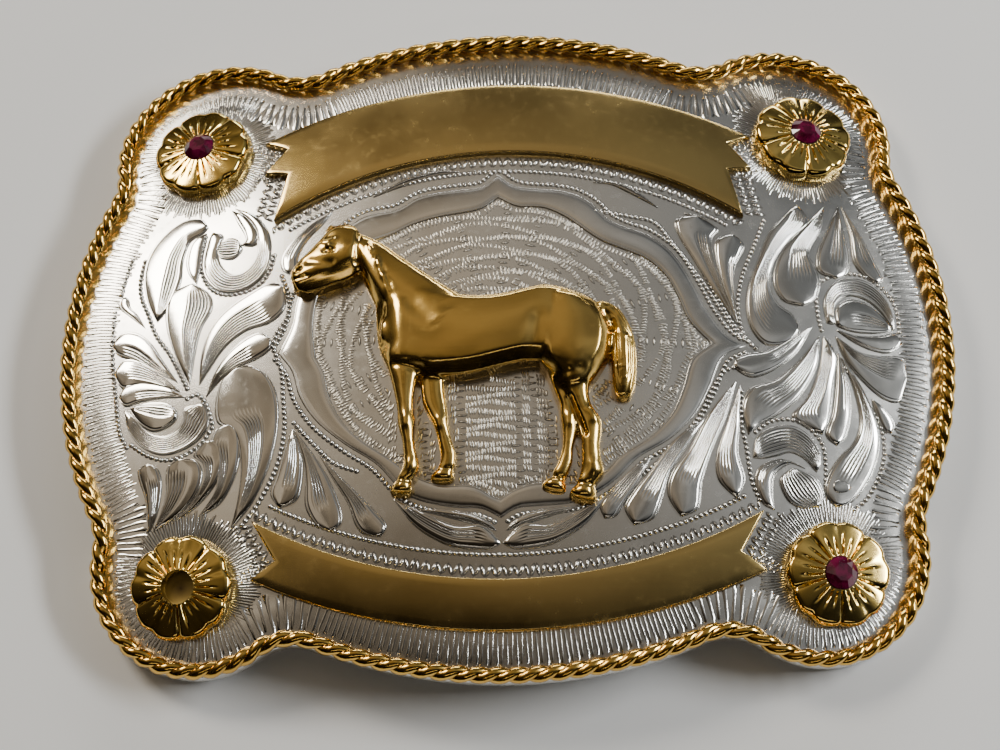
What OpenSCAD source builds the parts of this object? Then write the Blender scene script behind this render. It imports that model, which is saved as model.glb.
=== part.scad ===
// Domed western trophy buckle, lying on its four corner lobes, front up.
// Millimetres, +Z up, +X to the right and +Y to the top edge of the front.

/* [Plate] */
// Width over the rope edge
overall_w = 114; // [104:1:124]
// Height over the rope edge
overall_h = 89; // [83:1:97]
// Thickness of the plate
plate_t = 1.8; // [1.4:0.1:2.4]
// Radius of the dome of the front face
dome_r = 210; // [190:5:240]
// Radius of the bulges at the left and right ends
side_bulge_r = 50; // [45:1:60]
// Radius of the bulges along the top and bottom
long_bulge_r = 62; // [56:1:75]
// Radius of the corner lobes
lobe_r = 14.2; // [12.5:0.1:15.5]
// Lobe centre, distance in from the end of the buckle
lobe_in_x = 19.7; // [18:0.1:22]
// Lobe centre, distance in from the long edge
lobe_in_y = 16.2; // [15:0.1:18]
// Radius of the hollow fillets beside the lobes
fillet_r = 7; // [4:0.5:10]

/* [Rope edge] */
// Thickness of the rope moulding
rope_d = 2.1; // [1.6:0.1:2.6]
// How far the rope stands out past the plate
rope_over = 0.5; // [0.2:0.1:0.9]

/* [Banners] */
// Thickness of both banners
banner_t = 0.9; // [0.6:0.1:1.4]
// Width of the top banner at its middle
banner_top_w = 11; // [8:0.2:12]
// Outer edge of the top banner, distance in from the top of the buckle
banner_top_in = 8.2; // [7.5:0.1:10]
// Radius of the outer edge of the top banner
banner_top_outer_r = 70; // [64:1:90]
// Radius of the inner edge of the top banner
banner_top_inner_r = 56; // [52:1:70]
// Width of the bottom banner at its middle
banner_bottom_w = 6.2; // [5:0.2:8]
// Outer edge of the bottom banner, distance in from the bottom of the buckle
banner_bottom_in = 6.2; // [5.5:0.1:8]
// Radius of the outer edge of the bottom banner
banner_bottom_outer_r = 70; // [62:1:90]
// Radius of the inner edge of the bottom banner
banner_bottom_inner_r = 62; // [56:1:75]
// Depth of the notches in the banner ends
notch_d = 3; // [1.5:0.1:4]
// Space between a banner's end and the flower beside it
banner_clear = 1.9; // [1.2:0.1:4]

/* [Flowers and stones] */
// Diameter of the flowers
flower_d = 12.8; // [11:0.1:13.6]
// Thickness of a flower at its rim
flower_rim_t = 1.0; // [0.7:0.1:1.5]
// Height of a flower's middle above the plate
flower_h = 2.5; // [2:0.1:3.2]
// Flower centre, distance past the lobe centre towards the end
flower_out_x = 2.2; // [0:0.1:3]
// Flower centre of the lower pair, distance past the lobe centre towards the bottom
flower_out_y = 3; // [0:0.1:3.4]
// Diameter of the stones
stone_d = 4; // [3:0.1:4.8]
// Height of a stone above its girdle
stone_crown = 0.9; // [0.6:0.1:1.3]
// Depth of a stone below its girdle
stone_pavilion = 1.2; // [0.8:0.1:1.5]
// Depth of the sockets
socket_depth = 1.4; // [1:0.1:1.7]

/* [Horse] */
// Length of the horse from muzzle to tail
horse_l = 42; // [34:0.5:46]
// Height of the horse's barrel above the plate
horse_relief = 4; // [2.5:0.1:5]

/* [Back] */
// Diameter of the belt loop's wire
wire_d = 2.4; // [2:0.1:2.6]
// Clear length of the belt loop, for the belt's width
loop_l = 40; // [34:1:46]
// Clear width of the belt loop between its bars
loop_w = 12; // [10:0.5:14]
// Middle of the belt loop's inner bar, distance from the centre of the buckle
loop_x = 10; // [8:0.5:13]
// Height of the belt loop's outer bar above the ground it lies on
loop_lift = 0.35; // [0.3:0.05:0.9]
// Radius of the loop's corner bends
loop_bend_r = 3; // [2.6:0.1:4.5]
// Length of the two saddles that hold the inner bar
saddle_l = 5; // [4:0.5:8]
// Distance between the middles of the saddles
saddle_pitch = 26; // [18:1:28]
// Radius of the hook post
hook_r = 2; // [1.6:0.1:2.4]
// Length of the hook post from its foot to its round end
hook_l = 4; // [3:0.1:4.4]
// Length of the flare between the foot and the straight post
hook_flare = 0.9; // [0.8:0.05:1.2]
// Lean of the hook post towards the end of the buckle
hook_lean = 12; // [0:1:18]
// Distance of the hook post's foot from the centre of the buckle
hook_x = 28; // [24:0.5:31]
// Radius of the hook post's foot
hook_foot_r = 3.6; // [3:0.1:4.5]
// Thickness of the hook post's foot
hook_foot_t = 0.8; // [0.6:0.1:1.2]

/* [Hidden] */

// how far the hook post's flare is wider than the post and starts inside its foot
flare_over = 0.6;
flare_sink = 0.4;

// gap between the plate and what is fixed on it, and round a stone
seat_gap = 0.06;
socket_gap = 0.08;

silver = [0.80, 0.80, 0.82];
gold = [0.83, 0.63, 0.24];
ruby = [0.55, 0.05, 0.18];

// Outline of the plate: arcs about these centres, for one quarter
half_w = overall_w / 2 - rope_over;
half_h = overall_h / 2 - rope_over;
side_c = [half_w - side_bulge_r, 0];
long_c = [0, half_h - long_bulge_r];
lobe_c = [overall_w / 2 - lobe_in_x, overall_h / 2 - lobe_in_y];
plate_lobe_r = lobe_r - rope_over;

// centre of a circle of radius r that touches two others from outside, on the given side
function touching(c1, r1, c2, r2, r, side) =
    let (d = norm(c2 - c1),
         a = r1 + r,
         b = r2 + r,
         x = (a * a - b * b + d * d) / (2 * d),
         y = sqrt(max(a * a - x * x, 0)),
         u = (c2 - c1) / d)
    c1 + u * x + side * y * [-u[1], u[0]];

side_f = touching(side_c, side_bulge_r, lobe_c, plate_lobe_r, fillet_r, -1);
long_f = touching(long_c, long_bulge_r, lobe_c, plate_lobe_r, fillet_r, 1);

function toward(c, p, r) = c + (p - c) * r / norm(p - c);
side_t = toward(side_c, side_f, side_bulge_r);
long_t = toward(long_c, long_f, long_bulge_r);
lobe_ts = toward(lobe_c, side_f, plate_lobe_r);
lobe_tl = toward(lobe_c, long_f, plate_lobe_r);

// Dome: the back rests on the rims of the four lobes
back_r = dome_r - plate_t;
lobe_far = norm(lobe_c) + plate_lobe_r;
dome_z = -sqrt(back_r * back_r - lobe_far * lobe_far);
function front_z(x, y) = dome_z + sqrt(dome_r * dome_r - x * x - y * y);
function back_z(x, y) = dome_z + sqrt(back_r * back_r - x * x - y * y);

// tall enough to cut through everything, from well below the rim
tall = 40;
below = 5;
FINE = 360;

module ball(r) { translate([0, 0, dome_z]) sphere(r, $fn = FINE); }

// puts a child, modelled on z = 0, on the front at x, y, square to the dome
module on_front(x, y) {
    turn = atan2(y, x);
    lean = asin(norm([x, y]) / dome_r);
    translate([0, 0, dome_z])
        rotate([0, 0, turn]) rotate([0, lean, 0]) rotate([0, 0, -turn])
            translate([0, 0, dome_r]) children();
}

// Outline as points, counter-clockwise, a given distance inside the rim
outline_step = 1.7;

function heading(v) = atan2(v[1], v[0]);
function round_to(a, least) = a < least ? round_to(a + 360, least) : a;
// points along an arc from a0 to a1, without the last one
function arc(c, r, a0, a1) =
    let (n = max(3, round(abs(a1 - a0) * PI / 180 * r / outline_step)))
    [for (i = [0:n - 1]) let (a = a0 + (a1 - a0) * i / n) c + r * [cos(a), sin(a)]];

function quarter(inset) =
    let (b0 = round_to(heading(side_c - side_f), 0),
         b1 = round_to(heading(lobe_c - side_f), 0),
         g0 = round_to(heading(lobe_c - long_f), 0),
         g1 = round_to(heading(long_c - long_f), 0))
    concat(arc(side_c, side_bulge_r - inset, 0, heading(side_f - side_c)),
           arc(side_f, fillet_r + inset, b0, b1),
           arc(lobe_c, plate_lobe_r - inset, heading(side_f - lobe_c), heading(long_f - lobe_c)),
           arc(long_f, fillet_r + inset, g0, g1),
           arc(long_c, long_bulge_r - inset, heading(long_f - long_c), 90));
function flip(pts, sx, sy) = [for (p = pts) [p[0] * sx, p[1] * sy]];
function backward(pts) = [for (i = [len(pts) - 1:-1:0]) pts[i]];
function past_first(pts) = [for (i = [1:len(pts) - 1]) pts[i]];
function outline(inset) =
    let (q = quarter(inset), open_q = past_first(q), top = [0, half_h - inset])
    concat(q, [top], backward(flip(open_q, -1, 1)), [[inset - half_w, 0]],
           flip(open_q, -1, -1), [-top], backward(flip(open_q, 1, -1)));

module plate() {
    color(silver) difference() {
        intersection() {
            translate([0, 0, -below]) linear_extrude(tall) polygon(outline(0));
            ball(dome_r);
        }
        ball(back_r);
    }
}

// Rope edge: a tube along the outline, inside the rim by the rope's radius less its overhang
rope_r = rope_d / 2;
rope_in = rope_r - rope_over;
rope_sides = 8;
rope_xy = outline(rope_in);

// the rope lies on the front with its seat gap
rope_up = rope_r + seat_gap;
rope_path = [for (p = rope_xy) [p[0], p[1], dome_z + sqrt(pow(dome_r + rope_up, 2) - p * p)]];

module tube(path, r, sides) {
    n = len(path);
    pts = [for (i = [0:n - 1])
        let (d = path[(i + 1) % n] - path[(i + n - 1) % n],
             f = d / norm(d),
             up = (path[i] - [0, 0, dome_z]) / norm(path[i] - [0, 0, dome_z]),
             side = cross(f, up) / norm(cross(f, up)),
             top = cross(side, f))
        for (k = [0:sides - 1])
            let (a = 360 * (k + 0.5) / sides) path[i] + r * (cos(a) * side + sin(a) * top)];
    faces = [for (i = [0:n - 1], k = [0:sides - 1])
        let (j = (i + 1) % n, m = (k + 1) % sides)
        [i * sides + k, i * sides + m, j * sides + m, j * sides + k]];
    polyhedron(pts, faces, convexity = 8);
}

module rope_edge() { color(gold) tube(rope_path, rope_r, rope_sides); }

// Banners: arc ribbons with notched ends, between two domes
flower_x = lobe_c[0] + flower_out_x;
banner_half = flower_x - flower_d / 2 - banner_clear;

// height of an arc of radius r at x below its crown
function sag(r, x) = r - sqrt(r * r - x * x);

module on_dome(t) {
    intersection() {
        difference() {
            linear_extrude(tall) children();
            ball(dome_r + seat_gap);
        }
        ball(dome_r + seat_gap + t);
    }
}

// Ribbon seen from above, its crown up: outer arc, inner arc and cut ends.
// cuts are the points of an end, as shares: how far in of the notch depth, how far down of the end's width
module ribbon(w, outer_r, inner_r, cuts) {
    outer_low = sag(outer_r, banner_half);
    inner_low = w + sag(inner_r, banner_half);
    difference() {
        intersection() {
            translate([0, -outer_r]) circle(outer_r, $fn = FINE);
            translate([-banner_half, -inner_low]) square([2 * banner_half, inner_low]);
        }
        translate([0, -w - inner_r]) circle(inner_r, $fn = FINE);
        for (s = [-1, 1])
            polygon(concat(
                [[s * (banner_half + 1), -outer_low + 1]],
                [for (c = cuts) [s * (banner_half - c[0] * notch_d), -outer_low - c[1] * (inner_low - outer_low)]],
                [[s * (banner_half + 1), -inner_low - 1]]));
    }
}

// Two notches, then a long slanting edge
TOP_CUTS = [[0, 0], [1, 0.21], [0.06, 0.38], [1.08, 0.54], [0.55, 1.02]];
// One swallowtail notch
BOTTOM_CUTS = [[0, -0.02], [1, 0.5], [0, 1.02]];

module banner_top() {
    color(gold) on_dome(banner_t) translate([0, overall_h / 2 - banner_top_in])
        ribbon(banner_top_w, banner_top_outer_r, banner_top_inner_r, TOP_CUTS);
}

module banner_bottom() {
    color(gold) on_dome(banner_t) translate([0, banner_bottom_in - overall_h / 2]) mirror([0, 1, 0])
        ribbon(banner_bottom_w, banner_bottom_outer_r, banner_bottom_inner_r, BOTTOM_CUTS);
}

// Flowers: five petals, each notched at the middle of its outer edge, round a socket
petals = 5;
flower_points = 90;
// a crease between petals points down
crease_turn = 270;
petal_dip = 0.09;
notch_dip = 0.05;
function petal_edge(a) =
    let (p = (a - crease_turn) * petals / 360,
         f = p - floor(p),
         between = 1 - pow(sin(180 * f), 0.5),
         middle = exp(-pow((f - 0.5) / 0.11, 2)))
    1 - petal_dip * between - notch_dip * middle;

flower_dome_r = (pow(flower_d / 2, 2) + pow(flower_h - flower_rim_t, 2)) / (2 * (flower_h - flower_rim_t));
seat_r = stone_d / 2 + socket_gap;
crease_w = 0.5;

module flower() {
    difference() {
        intersection() {
            linear_extrude(tall) polygon([for (i = [0:flower_points - 1])
                let (a = 360 * i / flower_points) flower_d / 2 * petal_edge(a) * [cos(a), sin(a)]]);
            translate([0, 0, flower_h - flower_dome_r]) sphere(flower_dome_r, $fn = FINE);
        }
        // seat on the dome
        translate([0, 0, -dome_r]) sphere(dome_r + seat_gap, $fn = FINE);
        // socket for the stone
        translate([0, 0, flower_h - socket_depth]) cylinder(r = seat_r, h = socket_depth + 1, $fn = 64);
        // creases between the petals
        for (i = [0:petals - 1]) rotate([0, 0, crease_turn + 360 / petals * i])
            translate([seat_r + 0.5, 0, flower_h + 0.1]) rotate([0, 90 + 14, 0])
                cylinder(r = crease_w, h = flower_d, $fn = 32);
    }
}

// Stone: flat octagonal table, crown, girdle and pavilion
stone_girdle = 0.2;
table_share = 0.56;
module stone() {
    r = stone_d / 2;
    translate([0, 0, flower_h - socket_depth + socket_gap + stone_pavilion]) {
        hull() {
            rotate([0, 0, 22.5]) cylinder(r = r * table_share, h = stone_crown, $fn = 8);
            cylinder(r = r, h = stone_girdle, $fn = 16);
        }
        hull() {
            cylinder(r = r, h = stone_girdle, $fn = 16);
            translate([0, 0, -stone_pavilion]) rotate([0, 0, 22.5]) cylinder(r = 0.25, h = 0.1, $fn = 8);
        }
    }
}

module at_corner(sx, sy) {
    y = sy > 0 ? lobe_c[1] : lobe_c[1] + flower_out_y;
    on_front(sx * flower_x, sy * y) children();
}

module flower_top_left() { color(gold) at_corner(-1, 1) flower(); }
module flower_top_right() { color(gold) at_corner(1, 1) flower(); }
module flower_bottom_left() { color(gold) at_corner(-1, -1) flower(); }
module flower_bottom_right() { color(gold) at_corner(1, -1) flower(); }
module stone_top_left() { color(ruby) at_corner(-1, 1) stone(); }
module stone_top_right() { color(ruby) at_corner(1, 1) stone(); }
module stone_bottom_right() { color(ruby) at_corner(1, -1) stone(); }

// Horse: rounded limbs hulled between blobs.
// Columns: x, y, radius as percents of the length, height as a percent of the relief
blobs_round = 20;
H_NOSE = [-58.6, 17.4, 4.0, 50];
H_FACE = [-53.0, 25.0, 5.0, 62];
H_POLL = [-48.0, 29.6, 4.3, 62];
H_JAW = [-46.8, 22.6, 4.9, 66];
H_EAR_L = [-52.0, 34.3, 0.9, 48];
H_EAR_R = [-47.0, 34.6, 0.9, 48];
H_NECK = [-35.4, 17.4, 8.0, 74];
H_SHOULDER = [-25.0, 2.6, 12.6, 92];
H_CHEST = [-28.0, -3.5, 8.8, 84];
H_WITHERS = [-15.0, 2.6, 8.8, 88];
H_BARREL_F = [-14.0, -2.9, 12.4, 100];
H_BARREL_B = [2.0, -1.0, 11.4, 98];
H_LOIN = [9.0, 1.8, 9.9, 94];
H_RUMP = [19.8, -1.6, 11.2, 96];
H_THIGH = [21.0, -9.0, 9.0, 84];
H_ELBOW = [-28.8, -14.0, 4.8, 70];
H_KNEE = [-28.6, -31.0, 2.3, 46];
H_FETLOCK = [-28.2, -44.0, 1.8, 40];
H_HOOF = [-30.0, -49.4, 2.6, 42];
H_ELBOW_FAR = [-20.5, -15.0, 4.2, 56];
H_KNEE_FAR = [-18.2, -32.0, 2.1, 38];
H_FETLOCK_FAR = [-17.6, -43.0, 1.7, 32];
H_HOOF_FAR = [-18.0, -46.6, 2.4, 34];
H_GASKIN = [21.8, -20.0, 4.8, 66];
H_HOCK = [24.8, -32.0, 2.5, 48];
H_PASTERN = [24.4, -47.0, 1.9, 42];
H_HOOF_HIND = [21.4, -52.8, 2.8, 44];
H_GASKIN_FAR = [15.8, -19.5, 3.6, 50];
H_HOCK_FAR = [17.6, -30.5, 2.1, 38];
H_PASTERN_FAR = [17.8, -43.5, 1.7, 34];
H_HOOF_HIND_FAR = [14.0, -49.2, 2.5, 34];
H_DOCK = [29.0, 5.0, 2.6, 60];
H_TAIL_A = [34.8, -2.5, 3.3, 62];
H_TAIL_B = [36.0, -14.0, 3.3, 58];
H_TAIL_TIP = [34.8, -25.0, 1.6, 44];

HORSE_LIMBS = [
    [H_NOSE, H_FACE], [H_FACE, H_POLL, H_JAW], [H_POLL, H_EAR_L], [H_POLL, H_EAR_R],
    [H_POLL, H_JAW, H_NECK], [H_NECK, H_SHOULDER, H_WITHERS], [H_SHOULDER, H_CHEST, H_BARREL_F],
    [H_WITHERS, H_BARREL_F, H_BARREL_B], [H_BARREL_B, H_LOIN, H_RUMP], [H_RUMP, H_THIGH],
    [H_CHEST, H_ELBOW], [H_ELBOW, H_KNEE], [H_KNEE, H_FETLOCK], [H_FETLOCK, H_HOOF],
    [H_CHEST, H_ELBOW_FAR], [H_ELBOW_FAR, H_KNEE_FAR], [H_KNEE_FAR, H_FETLOCK_FAR],
    [H_FETLOCK_FAR, H_HOOF_FAR],
    [H_THIGH, H_GASKIN], [H_GASKIN, H_HOCK], [H_HOCK, H_PASTERN], [H_PASTERN, H_HOOF_HIND],
    [H_THIGH, H_GASKIN_FAR], [H_GASKIN_FAR, H_HOCK_FAR], [H_HOCK_FAR, H_PASTERN_FAR],
    [H_PASTERN_FAR, H_HOOF_HIND_FAR],
    [H_RUMP, H_DOCK], [H_DOCK, H_TAIL_A], [H_TAIL_A, H_TAIL_B], [H_TAIL_B, H_TAIL_TIP]
];
horse_share = horse_l / 100;

module blob(b) {
    x = b[0] * horse_share;
    y = b[1] * horse_share;
    translate([x, y, front_z(x, y)])
        scale([b[2] * horse_share, b[2] * horse_share, b[3] / 100 * horse_relief])
            sphere(1, $fn = blobs_round);
}

module horse() {
    color(gold) difference() {
        for (limb = HORSE_LIMBS) hull() for (b = limb) blob(b);
        ball(dome_r + seat_gap);
    }
}

// Belt loop: a bent wire whose inner bar is held in two saddles under the back
wire_r = wire_d / 2;
loop_run = loop_w + wire_d;
loop_far_z = loop_lift + wire_r;
saddle_wall = 0.7;
loop_near_z = back_z(loop_x, saddle_pitch / 2 + saddle_l / 2) - wire_r - saddle_wall;
loop_slope = asin((loop_near_z - loop_far_z) / loop_run);
bar_y = loop_l / 2 + wire_r;

module loop_wire() {
    straight = bar_y - loop_bend_r;
    for (x = [0, loop_run]) translate([x, 0, 0]) rotate([90, 0, 0])
        cylinder(r = wire_r, h = 2 * straight, center = true, $fn = 48);
    for (s = [-1, 1]) translate([loop_bend_r, s * bar_y, 0]) rotate([0, 90, 0])
        cylinder(r = wire_r, h = loop_run - 2 * loop_bend_r, $fn = 48);
    for (e = [0, 1], s = [0, 1]) translate([loop_run / 2, 0, 0]) mirror([e, 0, 0]) mirror([0, s, 0])
        translate([loop_run / 2 - loop_bend_r, straight, 0])
            rotate_extrude(angle = 90, $fn = 96) translate([loop_bend_r, 0]) circle(wire_r, $fn = 48);
}

module belt_loop() {
    color(silver) union() {
        translate([loop_x, 0, loop_near_z]) rotate([0, loop_slope, 0]) loop_wire();
        intersection() {
            for (s = [-1, 1]) translate([loop_x, s * saddle_pitch / 2, loop_near_z]) {
                rotate([90, 0, 0]) cylinder(r = wire_r + saddle_wall, h = saddle_l, center = true, $fn = 48);
                translate([-wire_r - saddle_wall, -saddle_l / 2, 0])
                    cube([wire_d + 2 * saddle_wall, saddle_l, tall]);
            }
            ball(back_r - seat_gap);
        }
    }
}

// Hook post: a round foot under the back and a leaning post with a flared start and a round end
module hook_post() {
    foot_z = back_z(hook_x, 0);
    color(silver) union() {
        intersection() {
            union() {
                translate([-hook_x, 0, foot_z - hook_foot_t - sag(back_r, hook_foot_r)])
                    cylinder(r = hook_foot_r, h = tall, $fn = 64);
                translate([-hook_x, 0, foot_z - hook_foot_t]) rotate([0, 180 + hook_lean, 0])
                    translate([0, 0, -flare_sink])
                        cylinder(r1 = hook_r + flare_over, r2 = hook_r, h = hook_flare + flare_sink, $fn = 64);
            }
            ball(back_r - seat_gap);
        }
        translate([-hook_x, 0, foot_z - hook_foot_t]) rotate([0, 180 + hook_lean, 0]) {
            cylinder(r = hook_r, h = hook_l, $fn = 64);
            translate([0, 0, hook_l]) sphere(hook_r, $fn = 64);
        }
    }
}

plate();
rope_edge();
banner_top();
banner_bottom();
horse();
flower_top_left();
flower_top_right();
flower_bottom_left();
flower_bottom_right();
stone_top_left();
stone_top_right();
stone_bottom_right();
belt_loop();
hook_post();
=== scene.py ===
import math
import random

import bmesh
import bpy
from mathutils import Matrix, Vector


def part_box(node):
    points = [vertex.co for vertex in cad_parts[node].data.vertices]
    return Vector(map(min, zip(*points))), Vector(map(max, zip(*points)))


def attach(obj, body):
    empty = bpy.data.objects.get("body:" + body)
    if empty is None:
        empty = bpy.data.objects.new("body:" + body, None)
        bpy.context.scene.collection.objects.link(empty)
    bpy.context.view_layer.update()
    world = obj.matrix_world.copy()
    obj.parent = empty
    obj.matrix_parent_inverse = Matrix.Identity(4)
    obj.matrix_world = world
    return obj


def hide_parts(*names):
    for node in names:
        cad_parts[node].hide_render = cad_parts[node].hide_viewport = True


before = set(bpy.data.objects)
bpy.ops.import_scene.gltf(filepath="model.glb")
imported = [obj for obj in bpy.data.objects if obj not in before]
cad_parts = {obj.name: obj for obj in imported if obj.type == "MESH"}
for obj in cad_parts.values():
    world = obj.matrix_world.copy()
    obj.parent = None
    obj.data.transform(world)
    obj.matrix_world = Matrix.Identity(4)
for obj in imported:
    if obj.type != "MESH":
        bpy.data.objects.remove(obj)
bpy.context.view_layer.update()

# Sizes, in millimetres
MM = 0.001
TURN = 2 * math.pi
DOME_R = 210.0
DOME_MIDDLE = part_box("plate")[1].z / MM - DOME_R
MIDDLE = Vector((0, 0, DOME_MIDDLE * MM))
PLATE_T = 1.8
FIELD = -0.12
SOLDER = 0.06
HALF_W, HALF_H = 56.5, 44.0
SIDE_R, LONG_R, LOBE_R, FILLET_R = 50.0, 62.0, 13.7, 7.0
LOBE = (37.3, 28.3)
ROPE_R, ROPE_IN = 1.05, 0.55
FLOWER_X, FLOWER_TOP_Y, FLOWER_LOW_Y = 39.5, 28.3, -31.3
FLOWER_R, FLOWER_H = 6.4, 2.5
SOCKET_R, SOCKET_DEPTH = 2.08, 1.4
FLOWERS = {
    "flower_top_left": (-FLOWER_X, FLOWER_TOP_Y), "flower_top_right": (FLOWER_X, FLOWER_TOP_Y),
    "flower_bottom_left": (-FLOWER_X, FLOWER_LOW_Y), "flower_bottom_right": (FLOWER_X, FLOWER_LOW_Y),
}


def held(x):
    """A number kept between 0 and 1."""
    return min(1.0, max(0.0, x))


def on_front(x, y, up=0.0):
    """A point on the plate's domed front, up millimetres above it, in metres."""
    return Vector((x, y, DOME_MIDDLE + math.sqrt((DOME_R + up) ** 2 - x * x - y * y))) * MM


def around(a, r=1.0):
    """A flat point at angle a on a circle of radius r."""
    return Vector((r * math.cos(a), r * math.sin(a)))


# Outline of the plate
def touching(c1, r1, c2, r2, r, side):
    """Centre of a circle of radius r that touches two others from outside."""
    c1, c2 = Vector(c1), Vector(c2)
    gap = c2 - c1
    d = gap.length
    a, b = r1 + r, r2 + r
    x = (a * a - b * b + d * d) / (2 * d)
    y = math.sqrt(max(a * a - x * x, 0))
    u = gap / d
    return c1 + u * x + Vector((-u.y, u.x)) * (side * y)


def heading(v):
    return math.atan2(v.y, v.x)


def outline_arcs():
    """The quarter's arcs as centre, radius, sign of an inset, start and end angle, then all four."""
    side_c, long_c, lobe_c = Vector((HALF_W - SIDE_R, 0)), Vector((0, HALF_H - LONG_R)), Vector(LOBE)
    side_f = touching(side_c, SIDE_R, lobe_c, LOBE_R, FILLET_R, -1)
    long_f = touching(long_c, LONG_R, lobe_c, LOBE_R, FILLET_R, 1)
    up = lambda a: a % TURN
    quarter = [
        (side_c, SIDE_R, -1, 0.0, heading(side_f - side_c)),
        (side_f, FILLET_R, 1, up(heading(side_c - side_f)), up(heading(lobe_c - side_f))),
        (lobe_c, LOBE_R, -1, heading(side_f - lobe_c), heading(long_f - lobe_c)),
        (long_f, FILLET_R, 1, up(heading(lobe_c - long_f)), up(heading(long_c - long_f))),
        (long_c, LONG_R, -1, heading(long_f - long_c), math.pi / 2),
    ]
    arcs = list(quarter)
    arcs += [(Vector((-c.x, c.y)), r, k, math.pi - b, math.pi - a) for c, r, k, a, b in reversed(quarter)]
    arcs += [(Vector((-c.x, -c.y)), r, k, math.pi + a, math.pi + b) for c, r, k, a, b in quarter]
    arcs += [(Vector((c.x, -c.y)), r, k, -b, -a) for c, r, k, a, b in reversed(quarter)]
    return arcs


ARCS = outline_arcs()
ARC_LENGTHS = [r * abs(b - a) for _, r, _, a, b in ARCS]
RIM_LENGTH = sum(ARC_LENGTHS)


def rim(share, inset=0.0):
    """Point of the outline at a share of its length, inset millimetres inside it."""
    s = (share % 1.0) * RIM_LENGTH
    for (c, r, k, a, b), length in zip(ARCS, ARC_LENGTHS):
        if s <= length:
            t = a + (b - a) * s / length
            return c + around(t) * (r + k * inset)
        s -= length
    return c + around(b) * (r + k * inset)


def facing_out(share):
    """Which way the outline faces at a share of its length."""
    return rim(share) - rim(share, 1.0)


# Making meshes
def new_bm():
    """An empty mesh whose points carry the painted shade that darkens their colour."""
    bm = bmesh.new()
    bm.verts.layers.float.new("tarnish")
    return bm


def mesh_from(bm, name):
    mesh = bpy.data.meshes.new(name)
    bm.to_mesh(mesh)
    bm.free()
    return mesh


def in_scene(name, data):
    """A new object in the scene, at the origin."""
    made = bpy.data.objects.new(name, data)
    bpy.context.scene.collection.objects.link(made)
    return made


def shaped(field):
    """The mesh that an object has once its modifiers have run."""
    return bpy.data.meshes.new_from_object(field.evaluated_get(bpy.context.evaluated_depsgraph_get()))


def face_out(bm):
    bmesh.ops.recalc_face_normals(bm, faces=bm.faces)


def rub(bm, verts, factor=0.5):
    """Smooth some points once in every direction."""
    bmesh.ops.smooth_vert(bm, verts=verts, factor=factor, use_axis_x=True, use_axis_y=True, use_axis_z=True)


def finish_piece(bm, name, shade, replaced=(), sharp=None):
    """The piece itself: smooth, with its metal, riding on the one body."""
    mesh = mesh_from(bm, name)
    for p in mesh.polygons:
        p.use_smooth = True
    if sharp is not None:
        mesh.set_sharp_from_angle(angle=math.radians(sharp))
    piece = in_scene(name, mesh)
    mesh.materials.append(shade.material)
    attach(piece, "root")
    if replaced:
        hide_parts(*replaced)


def sheet_into(bm, nu, nv, place, close=False, weld=1e-7):
    """A grid of nu by nv faces laid out by place(u, v), which gives a point, or a point and its painted
    shade.
    """
    made = bmesh.ops.create_grid(bm, x_segments=nu, y_segments=nv, size=0.5)["verts"]
    tarnish = bm.verts.layers.float["tarnish"]
    for vert in made:
        spot = place(vert.co.x + 0.5, vert.co.y + 0.5)
        if isinstance(spot, tuple):
            spot, vert[tarnish] = spot
        vert.co = spot
    if close:
        bmesh.ops.remove_doubles(bm, verts=made, dist=weld)


def smooth_line(points, count):
    """Points at even steps along a curve through the given points."""
    pts = [Vector(p) for p in points]
    last, finer = len(pts) - 1, 16
    dense = []
    for i in range(last):
        p0, p1, p2, p3 = (pts[min(max(i + k, 0), last)] for k in (-1, 0, 1, 2))
        for j in range(finer):
            t = j / finer
            dense.append(0.5 * (2 * p1 + (p2 - p0) * t + (2 * p0 - 5 * p1 + 4 * p2 - p3) * t * t
                                + (3 * p1 - p0 - 3 * p2 + p3) * t ** 3))
    dense.append(pts[-1])
    run = [0.0]
    for p, q in zip(dense, dense[1:]):
        run.append(run[-1] + (q - p).length)
    out, k = [], 0
    for i in range(count + 1):
        at = run[-1] * i / count
        while k < len(run) - 2 and run[k + 1] < at:
            k += 1
        step = run[k + 1] - run[k]
        out.append(dense[k].lerp(dense[k + 1], (at - run[k]) / step if step > 1e-9 else 0.0))
    return out


def path_length(points):
    return sum((Vector(q) - Vector(p)).length for p, q in zip(points, points[1:]))


# Shaders
class Value:
    """A shader socket that can be reckoned with."""

    def __init__(self, shade, socket):
        self.shade, self.socket = shade, socket

    def math(self, operation, first, second):
        return self.shade.node("ShaderNodeMath", {"operation": operation}, {0: first, 1: second})

    def __add__(self, other):
        return self.math("ADD", self, other)

    def __mul__(self, other):
        return self.math("MULTIPLY", self, other)

    def __rsub__(self, other):
        return self.math("SUBTRACT", other, self)

    __radd__, __rmul__ = __add__, __mul__

    def between(self, lo, hi):
        """0 below lo, 1 above hi, smooth in between."""
        return self.shade.node("ShaderNodeMapRange", {"interpolation_type": "SMOOTHSTEP"},
                               {0: self, 1: lo, 2: hi, 3: 0.0, 4: 1.0})


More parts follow.
